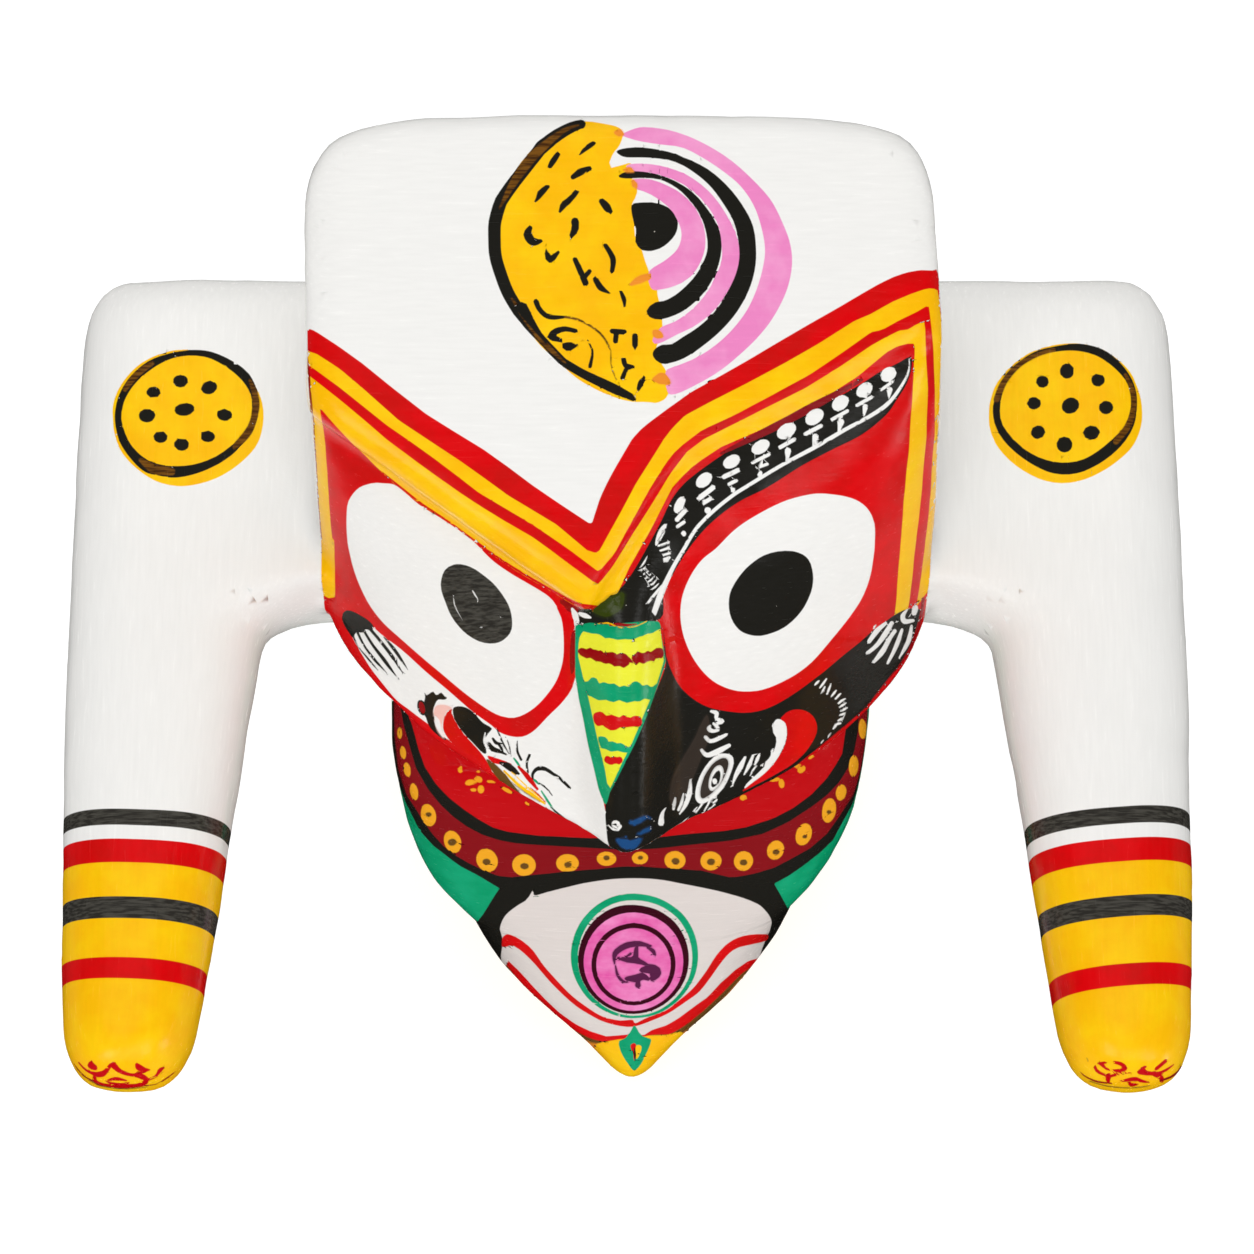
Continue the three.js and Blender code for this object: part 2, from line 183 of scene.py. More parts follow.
BROW_BANDS = (
    ("whole", (
        ("red", "panel", (304, 334, 306, 329.5, 310, 329, 315, 331, 338, 346, 362.5, 363.5, 394, 389, 425.5,
         413.5, 455, 432, 483.5, 449.5, 508, 467, 532, 485, 560, 504, 589, 523, 592, 523, 600, 498, 607,
         483, 614.5, 469, 631.5, 440, 639, 431, 648.5, 423, 668, 408.5, 692, 391.5, 721, 375.5, 750, 359,
         777, 343, 806, 326, 842, 305.5, 864, 292.5, 878, 284.5, 892, 277.5, 906, 272.5, 920, 270, 933,
         270.5, 935.5, 268, 941, 278, 946, 300, 950, 600, 940, 720, 610, 870, 573, 832, 560, 850, 450, 800,
         290, 690, 300, 600, 316, 570, 320.5, 551, 316.5, 498, 311.5, 425, 308.5, 377)),
        ("yellow", "panel", (305, 354, 306, 350.5, 317, 354, 340, 369, 362.5, 388, 399, 420.5, 430, 441,
         459.5, 460.5, 484, 478, 508, 495.5, 556.5, 524.5, 588, 551, 596, 553, 600, 550, 607, 537, 622, 510,
         636, 483.5, 656, 452, 664, 439, 672.5, 428, 685, 415.5, 709, 402.5, 745.5, 384, 784, 363.5, 818,
         344, 854.5, 321, 871, 314, 892, 302, 909.5, 294.5, 923.5, 289.5, 932, 288, 937.5, 290.5, 939.5,
         300, 950, 420, 944, 480, 930, 593, 926, 640, 600, 640, 560, 640, 322, 600, 320, 571, 320.5, 551,
         316.5, 498, 311.5, 425, 308.5, 377)),
        ("red", "panel", (308, 366.5, 309, 365, 320, 373, 338.5, 386.5, 364, 407, 387, 425.5, 411, 442,
         435.5, 459.5, 456, 475, 479, 493, 506, 509, 532.5, 524.5, 568.5, 549, 597.5, 571, 600.5, 570,
         614.5, 554, 631.5, 522.5, 648.5, 491, 665.5, 464, 674, 453, 682.5, 445, 702, 430, 735.5, 414.5,
         769.5, 396.5, 808.5, 375.5, 842.5, 352.5, 871.5, 332, 882, 330, 899, 320.5, 916.5, 312, 926.5, 306,
         929, 307, 932, 330, 934, 356, 935.5, 389, 935.5, 435, 931, 486, 924.5, 546.5, 917.5, 605, 914, 640,
         600, 640, 560, 640, 322, 600, 323, 571, 323, 551, 320, 498, 315, 425, 309.5, 377)),
        ("yellow", "panel", (309.5, 378, 310.5, 376.5, 324, 387, 338.5, 398.5, 364, 420, 387, 440, 414, 460,
         440, 478.5, 459, 492, 479, 505.5, 506, 522, 532.5, 537, 552, 551, 568.5, 563.5, 597.5, 585, 600,
         583, 612, 568.5, 631.5, 537, 651, 505.5, 670.5, 474, 687, 452, 704, 439, 736, 423, 769.5, 406, 806,
         388, 842.5, 365, 871.5, 345.5, 885, 338, 900, 330.5, 907.5, 330, 916, 325, 924, 321, 925.5, 330,
         926, 353, 928.5, 389, 927, 435, 922.5, 486, 915, 546.5, 909, 607, 906, 640, 600, 640, 560, 640,
         330, 597, 320.5, 571, 321.5, 551, 316.5, 498, 312, 425, 309.5, 395)),
        ("dark_red", "stroke", (307, 352, 309.5, 380, 312.5, 425, 317, 490, 321.5, 550), (2, 2.5, 2.5, 2)),
        ("red", "panel", (320, 409.5, 321, 409, 334, 424, 346, 437, 355.5, 447, 375, 466, 396.5, 486, 421,
         504, 447.5, 522.5, 471, 539, 496, 556, 514, 569, 532.5, 580.5, 547, 589, 561.5, 597.5, 580, 608,
         592, 611.5, 600, 611, 608, 607, 612, 604, 620, 588, 629, 568.5, 648.5, 534.5, 665.5, 500.5, 672,
         488, 682.5, 476.5, 692, 467, 702, 459.5, 721, 447, 745.5, 436.5, 774.5, 423, 803.5, 408.5, 832.5,
         392.5, 857, 377, 879, 359, 888, 352, 898, 346.5, 908, 344, 914, 344, 915, 348, 915, 353, 912.5,
         401, 909, 449.5, 904, 498, 900.5, 546.5, 894.5, 615.5, 918, 606, 927, 593, 950, 600, 940, 720, 610,
         870, 560, 850, 300, 610, 332, 601, 335, 596, 333, 559, 329, 498, 324, 437.5)),
        ("yellow", "panel", (312, 540, 333.5, 540, 334, 570, 335, 597, 329, 598, 312, 590)),
        ("dark_red", "panel", (560, 599, 575, 606, 585, 609.5, 592, 610.5, 584, 612.5, 572, 610, 560, 603)),
    )),
)

LEFT_FACE = (
    ("whole", (
        ("dark_red", "panel", (562, 598, 572, 604, 579, 612, 577, 640, 576, 676, 570, 692, 572, 676, 573,
         655, 571, 630, 567, 612)),
    )),
    ("left_cheek", (
        ("white", "wash", (905, 0, 1000, 70, 1100, 130, 1195, 190, 1235, 240, 1265, 310, 1275, 400, 1275,
         480, 1265, 550, 1235, 630, 1190, 700, 1130, 765, 1060, 810, 1000, 826, 930, 810, 860, 770, 760,
         700, 640, 600, 520, 500, 400, 390, 320, 310, 250, 220, 200, 120, 170, 40, 160, 0, 150, -60, 142,
         -140, 141, -235, 150, -300, 172, -345, 206, -378, 245, -395, 285, -402, 330, -400, 400, -387, 520,
         -290, 665, -196, 790, -110)),
    )),
    ("whole", (
        ("red", "panel", (375, 466, 396.5, 486, 421, 504, 447.5, 522.5, 471, 539, 496, 556, 514, 569, 532.5,
         580.5, 547, 589, 561.5, 597.5, 580, 608, 592, 611.5, 600, 606, 580, 604, 562, 594.5, 548, 586.5,
         533, 578, 514, 566, 496, 553.5, 471, 536.5, 447.5, 520, 421, 501.5, 398, 484)),
    )),
    ("left_cheek", (
        # The left pupil: black with a painted grey sheen, the reflection of a lamp on its gloss
        ("slate", "wash", (632, 110, 636, 160, 655, 220, 680, 280, 720, 340, 770, 395, 830, 428, 890, 438,
         935, 432, 975, 405, 1000, 365, 1003, 310, 990, 250, 960, 190, 915, 130, 860, 80, 800, 40, 740, 22,
         690, 25, 650, 55)),
        ("white", "stroke", (698, 180, 705, 240, 750, 315), (3, 5, 3)),
        ("white", "stroke", (797, 160, 815, 190, 822, 205), (6, 8, 5)),
        ("white", "stroke", (815, 222, 822, 214), (7, 7)),
        ("white", "stroke", (938, 296, 946, 298), (7, 7)),
        ("white", "stroke", (840, 354, 846, 354), (5, 5)),
        ("white", "wash", (275, 350, 330, 395, 440, 480, 560, 590, 680, 690, 760, 760, 820, 810, 890, 862,
         940, 905, 1000, 925, 1060, 925, 1120, 892, 1190, 820, 1270, 740, 1315, 670, 1335, 610, 1345, 560,
         1400, 800, 1480, 1240, 1495, 1330, 1500, 1400, 1510, 1500, 1500, 1560, 1432, 1579, 1380, 1526,
         1317, 1443, 1290, 1385, 1200, 1325, 1100, 1262, 1000, 1195, 900, 1105, 840, 1050, 740, 990, 640,
         915, 560, 850, 480, 795, 400, 738, 330, 650, 260, 560, 200, 460, 170, 385, 200, 340)),
        ("white", "stroke", (1322, 270, 1345, 330, 1350, 400), (8, 30, 34)),
        ("red", "panel", (1240, 250, 1290, 262, 1322, 280, 1334, 350, 1337, 420, 1336, 500, 1336, 610, 1318,
         670, 1290, 715, 1250, 640, 1270, 560, 1278, 480, 1278, 400, 1268, 310)),
        ("dark_red", "panel", (1318, 380, 1338, 360, 1340, 440, 1338, 520, 1328, 580, 1314, 600, 1306, 560,
         1306, 500, 1312, 430)),
    )),
    ("whole", (
        ("black", "wash", (342.5, 618, 344, 612, 347.5, 610, 353, 611, 359, 614, 365, 617.5, 371, 622, 374,
         627, 371, 630, 366, 629, 361, 632.5, 357, 632, 353, 637, 349.5, 632, 345.5, 626)),
        ("black", "stroke", (353, 634, 359, 647, 368, 659, 379, 672), (2, 1, 2, 0.5)),
        ("black", "stroke", (358, 632, 364, 645, 373, 658, 387, 674), (2.5, 2, 3, 0.5)),
        ("black", "stroke", (364, 630, 373, 645, 384, 660, 398, 679), (2.5, 3, 4, 0.5)),
        ("black", "stroke", (370, 628, 382, 643, 393, 658, 403, 674), (3, 3, 3.5, 0.4)),
        ("black", "stroke", (384, 637, 393, 648, 400, 658, 408, 670), (1, 3.5, 3, 0.6)),
    )),
    ("left_cheek", (
        ("black", "stroke", (395, 540, 415, 570, 438, 592), (3, 6, 3)),
        ("black", "wash", (545, 690, 560, 705, 590, 688, 610, 705, 635, 692, 655, 715, 675, 715, 650, 728,
         620, 728, 604, 750, 592, 790, 604, 835, 575, 850, 552, 812, 542, 765, 550, 722)),
        ("black", "ovals", (533, 772), (24, 42, -18)),
        ("dark_red", "ovals", (533, 772), (15, 32, -18)),
        ("black", "stroke", (572, 810, 588, 860, 618, 900, 655, 935), (40, 34, 22, 10)),
        ("blush", "wash", (606, 762, 648, 755, 690, 772, 665, 790, 645, 830, 638, 880, 650, 930, 618, 892,
         606, 850, 596, 800)),
        ("white", "wash", (600, 815, 625, 830, 636, 870, 648, 928, 622, 896, 605, 860)),
        ("red", "wash", (690, 775, 660, 800, 645, 845, 652, 900, 700, 970, 760, 1035, 820, 1082, 880, 1110,
         900, 1106, 872, 1055, 840, 1010, 790, 955, 740, 895, 706, 835, 690, 800)),
        ("black", "wash", (695, 778, 718, 764, 762, 770, 802, 798, 850, 850, 897, 882, 880, 905, 862, 935,
         862, 968, 868, 1012, 845, 1005, 795, 955, 742, 893, 706, 832)),
        ("white", "stroke", (862, 905, 858, 950, 872, 1002), (5, 14, 6)),
        ("black", "stroke", (880, 960, 902, 990, 935, 1002, 972, 1020), (16, 28, 18, 8)),
        ("black", "stroke", (902, 935, 920, 958, 950, 962), (14, 18, 8)),
        ("black", "stroke", (932, 968, 946, 985, 955, 1012), (12, 16, 8)),
        ("black", "stroke", (925, 888, 948, 950, 985, 1015), (8, 10, 6)),
        ("black", "stroke", (968, 928, 985, 968, 996, 1022), (4, 9, 5)),
        ("black", "stroke", (1031, 950, 1030, 1000, 1050, 1045), (5, 12, 12)),
        ("black", "stroke", (1095, 1020, 1080, 1060, 1086, 1112), (16, 14, 10)),
        ("black", "stroke", (1115, 1155, 1112, 1122, 1135, 1093, 1175, 1093, 1225, 1125), (10, 16, 24, 18,
         12)),
        ("black", "stroke", (1190, 1104, 1250, 1140, 1306, 1192), (14, 18, 12)),
        ("green", "stroke", (1122, 1150, 1146, 1168), (12, 12)),
        ("black", "stroke", (1140, 1162, 1180, 1190, 1216, 1232), (5, 10, 5)),
        ("red", "wash", (872, 1025, 930, 1040, 985, 1058, 1000, 1072, 950, 1072, 900, 1058)),
        ("umber", "wash", (868, 1042, 915, 1070, 960, 1110, 1020, 1180, 1066, 1236, 1030, 1222, 960, 1170,
         905, 1110)),
        ("black", "stroke", (940, 1062, 980, 1078, 1010, 1098, 1040, 1118), (14, 34, 34, 10)),
        ("green", "stroke", (1012, 1038, 1028, 1056, 1044, 1080), (8, 14, 10)),
        ("red", "stroke", (1038, 1082, 1082, 1130, 1136, 1196), (14, 28, 12)),
        ("yellow", "stroke", (962, 1102, 1040, 1176, 1110, 1226, 1176, 1272), (10, 16, 20, 10)),
        ("umber", "stroke", (1000, 1160, 1070, 1210, 1150, 1262), (3, 5, 3)),
        ("yellow", "stroke", (1000, 1108, 1090, 1190, 1165, 1250), (5, 9, 8)),
        ("red", "stroke", (1100, 1190, 1140, 1222, 1180, 1268), (4, 7, 5)),
        ("green", "stroke", (1158, 1208, 1196, 1268, 1232, 1318), (8, 12, 6)),
        ("black", "stroke", (1204, 1288, 1262, 1338, 1332, 1396), (6, 14, 12)),
        ("red", "stroke", (1180, 1290, 1240, 1345, 1312, 1398), (5, 8, 5)),
    )),
)

RIGHT_FACE = (
    ("right_brow", (
        ("black", "wash", (40, 1330, 80, 1280, 130, 1215, 200, 1095, 250, 1000, 300, 900, 360, 830, 450,
         760, 560, 690, 700, 630, 820, 560, 950, 500, 1060, 440, 1160, 378, 1225, 347, 1282, 318, 1288, 360,
         1268, 430, 1230, 490, 1180, 560, 1080, 640, 960, 700, 830, 770, 700, 850, 580, 910, 480, 980, 410,
         1050, 350, 1130, 300, 1220, 265, 1300, 250, 1400, 100, 1410, 0, 1400)),
        # Painted shade under the brow's rounded edge, in dark red along the top of the black brow
        ("maroon", "stroke", (500, 716, 700, 616, 860, 532, 1080, 412), (10, 32, 34, 14)),
        ("white", "stroke", (1277, 326, 1270, 395, 1200, 500, 1120, 560, 1010, 620, 890, 690, 760, 760, 640,
         830, 560, 880), (5, 13, 16, 15, 16, 16, 15, 15, 14)),
        ("white", "stroke", (560, 880, 470, 950, 400, 1020, 350, 1100, 300, 1190, 255, 1290, 215, 1400),
         (14, 14, 14, 14, 16, 26, 20)),
        ("white", "stroke", (256, 1262, 225, 1300, 180, 1356), (8, 12, 6)),
    )),
    ("brow_beads", (
        ("white", "ovals", (1018, 222), (56, 43, -38)),
        ("white", "ovals", (863, 322), (60, 41, -40)),
        ("white", "ovals", (711, 406), (61, 43, -38)),
        ("white", "ovals", (542, 494), (66, 45, -36)),
        ("white", "ovals", (363, 586), (68, 45, -34)),
        ("white", "ovals", (196, 688), (64, 41, -32)),
        ("white", "stroke", (972, 320, 1044, 270), (18, 18)),
        ("white", "stroke", (816, 422, 908, 370), (22, 22)),
        ("white", "stroke", (654, 511, 756, 455), (24, 24)),
        ("white", "stroke", (486, 605, 584, 553), (25, 25)),
        ("white", "stroke", (320, 692, 414, 640), (26, 26)),
        ("white", "stroke", (146, 788, 250, 736), (24, 24)),
        ("white", "stroke", (176, 820, 240, 796), (20, 20)),
        ("white", "stroke", (1028, 322, 1020, 376), (34, 10)),
        ("white", "stroke", (872, 430, 862, 484), (36, 12)),
        ("white", "stroke", (712, 526, 698, 590), (42, 10)),
        ("white", "stroke", (548, 624, 538, 680), (42, 12)),
        ("white", "stroke", (374, 714, 370, 766), (42, 16)),
        ("white", "stroke", (196, 850, 190, 866), (24, 30)),
    )),
    ("brow_fold", (
        ("white", "ovals", (716, 226), (50, 34, -30)),
        ("white", "ovals", (568, 326), (52, 34, -42)),
        ("white", "ovals", (433, 460), (50, 24, -62)),
        ("white", "ovals", (720, 380), (16, 14, 0)),
        ("white", "ovals", (587, 490), (18, 17, 0)),
        ("white", "ovals", (455, 620), (14, 16, 0)),
        ("white", "stroke", (676, 312, 753, 272), (25, 25)),
        ("white", "stroke", (704, 348, 741, 330), (20, 20)),
        ("white", "stroke", (540, 426, 615, 368), (26, 26)),
        ("white", "stroke", (564, 452, 602, 427), (21, 21)),
        ("white", "stroke", (420, 544, 464, 494), (24, 24)),
        ("white", "stroke", (422, 580, 458, 557), (18, 18)),
    )),
    ("right_brow", (
        ("white", "stroke", (272, 1004, 256, 1035, 242, 1068, 232, 1094), (8, 26, 22, 8)),
        ("black", "stroke", (266, 1030, 240, 1078), (3, 4)),
        ("white", "stroke", (242, 1098, 282, 1084), (8, 10)),
        ("white", "stroke", (248, 1118, 286, 1104), (8, 10)),
        ("white", "stroke", (256, 1138, 288, 1126), (8, 10)),
        ("white", "stroke", (264, 1152, 286, 1146), (8, 10)),
        ("white", "stroke", (268, 1158, 276, 1158), (14, 14)),
        ("white", "stroke", (162, 1190, 182, 1167, 196, 1140), (3, 8, 3)),
        ("white", "stroke", (158, 1206, 184, 1191, 204, 1172), (3, 8, 3)),
        ("white", "stroke", (166, 1222, 190, 1209, 208, 1192), (3, 8, 3)),
        ("white", "stroke", (176, 1238, 199, 1225, 216, 1208), (3, 8, 3)),
        ("white", "stroke", (186, 1254, 209, 1240, 226, 1222), (3, 8, 3)),
        ("white", "stroke", (196, 1268, 220, 1252, 238, 1232), (3, 8, 3)),
        ("white", "stroke", (206, 1282, 228, 1269, 244, 1252), (3, 8, 3)),
    )),
    ("whole", (
        ("black", "panel", (578, 611, 592, 612, 601, 607, 609, 603.5, 622, 588, 640, 598, 657, 618, 655,
         623, 620, 626, 596, 625, 577, 624)),
        ("olive", "stroke", (596, 611, 606, 609, 614, 604, 621, 596), (6, 16, 18, 8)),
    )),
    ("nose", (
        ("white", "stroke", (66, 98, 82, 130, 98, 165), (14, 34, 16)),
        ("white", "stroke", (104, 122, 130, 132, 160, 145), (18, 26, 10)),
        ("black", "stroke", (100, 108, 160, 112), (10, 22)),
    )),
    ("right_cheek", (
        ("black", "wash", (215, 340, 225, 460, 250, 540, 295, 620, 360, 680, 440, 722, 560, 745, 660, 745,
         760, 712, 860, 652, 960, 577, 1080, 482, 1180, 402, 1240, 346, 1312, 292, 1350, 268, 1400, 245,
         1460, 240, 1490, 270, 1482, 400, 1420, 540, 1290, 690, 1200, 790, 1080, 880, 960, 970, 860, 1050,
         740, 1120, 600, 1200, 480, 1270, 380, 1330, 300, 1370, 200, 1420, 100, 1460, 0, 1440, -55, 1400,
         -66, 1330, -72, 1240, -66, 1160, -52, 1120, -30, 1060, 40, 930, 130, 740, 190, 600, 222, 510, 215,
         440)),
        ("white", "wash", (400, 0, 340, 90, 305, 190, 298, 300, 320, 400, 370, 500, 440, 580, 520, 625, 600,
         643, 700, 635, 820, 585, 930, 510, 1030, 400, 1110, 300, 1180, 190, 1225, 80, 1240, 0, 1248, -60,
         1247, -160, 1240, -196, 1225, -232, 1195, -270, 1150, -300, 1098, -314, 1048, -322, 980, -325, 905,
         -316, 800, -286, 685, -230, 560, -150, 470, -60)),
    )),
    ("right_brow", (
        ("black", "wash", (532, 1360, 535, 1300, 555, 1250, 600, 1190, 660, 1145, 720, 1122, 785, 1117, 835,
         1130, 865, 1160, 878, 1200, 880, 1240, 868, 1290, 840, 1350, 800, 1400, 750, 1440, 690, 1462, 640,
         1468, 585, 1450, 548, 1412)),
    )),
    ("right_cheek", (
        ("white", "wash", (768, 784, 790, 783, 810, 800, 818, 845, 806, 905, 770, 975, 715, 1038, 660, 1082,
         612, 1116, 620, 1096, 690, 1030, 740, 968, 762, 915, 766, 890, 764, 865, 752, 848, 750, 812)),
        ("red", "wash", (788, 778, 822, 746, 872, 732, 922, 745, 955, 780, 968, 830, 950, 882, 905, 948,
         840, 1002, 760, 1050, 680, 1092, 610, 1130, 600, 1126, 660, 1084, 715, 1040, 770, 977, 808, 907,
         820, 845, 812, 802)),
    )),
    ("nose", (
        # A painted brown sheen on the black beside the nose
        ("soot", "wash", (770, 650, 782, 760, 745, 860, 705, 960, 645, 1080, 595, 1135, 572, 1085, 590, 980,
         640, 880, 700, 780, 735, 700)),
    )),
    ("right_cheek", (
        ("white", "stroke", (1412, 244, 1388, 275, 1398, 305, 1440, 300), (8, 24, 24, 14)),
        ("white", "stroke", (1450, 234, 1446, 262), (28, 24)),
        ("white", "stroke", (1434, 325, 1420, 390, 1395, 440, 1368, 486), (12, 22, 18, 6)),
        ("white", "stroke", (1386, 345, 1368, 400, 1340, 455, 1312, 506), (14, 22, 18, 12)),
        ("white", "stroke", (1350, 350, 1325, 385, 1290, 445, 1248, 502), (20, 20, 26, 14)),
        ("white", "stroke", (1332, 310, 1300, 365, 1262, 420, 1216, 458), (22, 26, 20, 16)),
        ("white", "stroke", (1300, 310, 1262, 345, 1222, 402), (18, 26, 20)),
        ("white", "stroke", (1252, 318, 1242, 334), (8, 10)),
        ("white", "stroke", (955, 612, 965.5, 602, 976, 592), (7, 13, 7)),
        ("white", "stroke", (980, 628, 996, 605, 1012, 582), (7, 13, 7)),
        ("white", "stroke", (988, 656, 996, 639, 1004, 622), (7, 13, 7)),
        ("white", "stroke", (1016, 660, 1025, 636, 1034, 612), (7, 13, 7)),
        ("white", "stroke", (1040, 668, 1050, 654, 1060, 640), (7, 13, 7)),
        ("white", "stroke", (1058, 684, 1071, 670, 1084, 656), (7, 13, 7)),
        ("white", "stroke", (1068, 708, 1086, 694, 1104, 680), (7, 13, 7)),
        ("white", "stroke", (1076, 724, 1093, 714, 1110, 704), (7, 13, 7)),
        ("white", "stroke", (1082, 742, 1098, 734, 1114, 726), (7, 13, 7)),
        ("white", "stroke", (1078, 762, 1095, 756, 1112, 750), (7, 13, 7)),
        ("white", "stroke", (1070, 790, 1085, 782, 1100, 774), (7, 13, 7)),
        ("white", "stroke", (1058, 806, 1070, 803, 1082, 800), (7, 13, 7)),
        ("white", "stroke", (1046, 828, 1055, 817, 1064, 806), (7, 13, 7)),
        ("white", "stroke", (1018, 870, 1034, 848), (5, 6)),
        ("white", "stroke", (984, 900, 998, 884), (5, 6)),
        ("white", "stroke", (1030, 860, 1018, 866), (5, 6)),
        ("white", "stroke", (445, 740, 472, 750, 470, 775, 500, 790, 478, 798), (12, 22, 14, 22, 14)),
        ("white", "stroke", (458, 800, 482, 828, 455, 838, 434, 826, 440, 812), (12, 18, 14, 22, 10)),
        ("white", "stroke", (420, 868, 440, 888, 478, 876, 520, 855), (16, 20, 20, 14)),
        ("white", "stroke", (400, 932, 426, 955, 480, 935, 534, 906), (14, 24, 26, 18)),
        ("white", "wash", (540, 950, 556, 985, 545, 1040, 512, 1105, 462, 1160, 402, 1192, 370, 1172, 372,
         1115, 398, 1045, 438, 985, 488, 950)),
        # A ring of painted brown sheen between the white ones
        ("soot", "wash", (520, 970, 532, 995, 522, 1040, 492, 1095, 446, 1145, 404, 1168, 392, 1150, 398,
         1105, 420, 1045, 456, 995, 494, 970)),
        ("white", "wash", (496, 1008, 506, 1035, 498, 1080, 474, 1115, 448, 1130, 434, 1112, 438, 1065, 458,
         1025, 478, 1006)),
        ("black", "wash", (486, 1030, 492, 1052, 484, 1088, 466, 1108, 452, 1112, 447, 1098, 452, 1068, 468,
         1040)),
        ("white", "ovals", (464, 1082), (12, 14, 0)),
        ("white", "stroke", (345, 1078, 340, 1140, 322, 1200, 290, 1250), (10, 24, 20, 6)),
        ("white", "stroke", (310, 1146, 302, 1190, 286, 1226), (8, 14, 12)),
        ("white", "stroke", (272, 1164, 268, 1190, 262, 1220), (8, 16, 12)),
        ("white", "stroke", (226, 1212, 206, 1245, 200, 1288), (4, 18, 30)),
        ("white", "stroke", (440, 1176, 398, 1256), (10, 6)),
        ("white", "stroke", (404, 1190, 358, 1256), (10, 6)),
        ("white", "stroke", (376, 1210, 340, 1262), (8, 5)),
        ("white", "stroke", (470, 1158, 452, 1168), (8, 6)),
        ("white", "stroke", (474, 1174, 456, 1188), (10, 8)),
        ("white", "stroke", (462, 1196, 430, 1222), (8, 6)),
        ("white", "stroke", (420, 1240, 330, 1290), (5, 3)),
        ("white", "stroke", (380, 1258, 300, 1316, 230, 1366, 146, 1402), (4, 6, 5, 3)),
        ("white", "stroke", (352, 1250, 285, 1300, 215, 1350), (3, 4, 3)),
        ("umber", "stroke", (400, 1262, 310, 1330, 220, 1382, 120, 1420), (4, 10, 12, 6)),
        ("white", "stroke", (612, 966, 590, 1010, 568, 1050, 552, 1096), (12, 26, 20, 8)),
        ("white", "stroke", (652, 958, 632, 1005, 608, 1052), (12, 20, 8)),
        ("white", "stroke", (682, 956, 670, 985, 658, 1002), (12, 16, 8)),
        ("white", "stroke", (668, 1008, 652, 1030, 636, 1056), (8, 10, 5)),
        ("white", "stroke", (744, 926, 744, 960, 722, 990, 690, 1006), (10, 14, 14, 8)),
        ("white", "stroke", (730, 1010, 690, 1040, 640, 1082), (6, 5, 3)),
        ("white", "stroke", (560, 1100, 548, 1106, 538, 1110), (4, 7, 4)),
    )),
    ("whole", (
        ("red", "panel", (946, 560, 946, 592, 927, 600, 922, 617, 914, 643.5, 901.5, 664, 883, 686.5, 865,
         709, 840.5, 729.5, 816, 750, 795.5, 766, 771, 780.5, 742.5, 797, 718, 811, 697.5, 823.5, 697.5,
         840, 760, 820, 900, 730, 960, 600)),
    )),
    ("right_cheek", (
        ("dark_red", "stroke", (1486, 190, 1476, 290, 1436, 410, 1378, 510, 1286, 624), (15, 14, 12, 8, 5)),
        ("dark_red", "stroke", (1286, 624, 1197, 731, 1081, 833, 975, 922), (5, 5, 4, 4)),
    )),
)

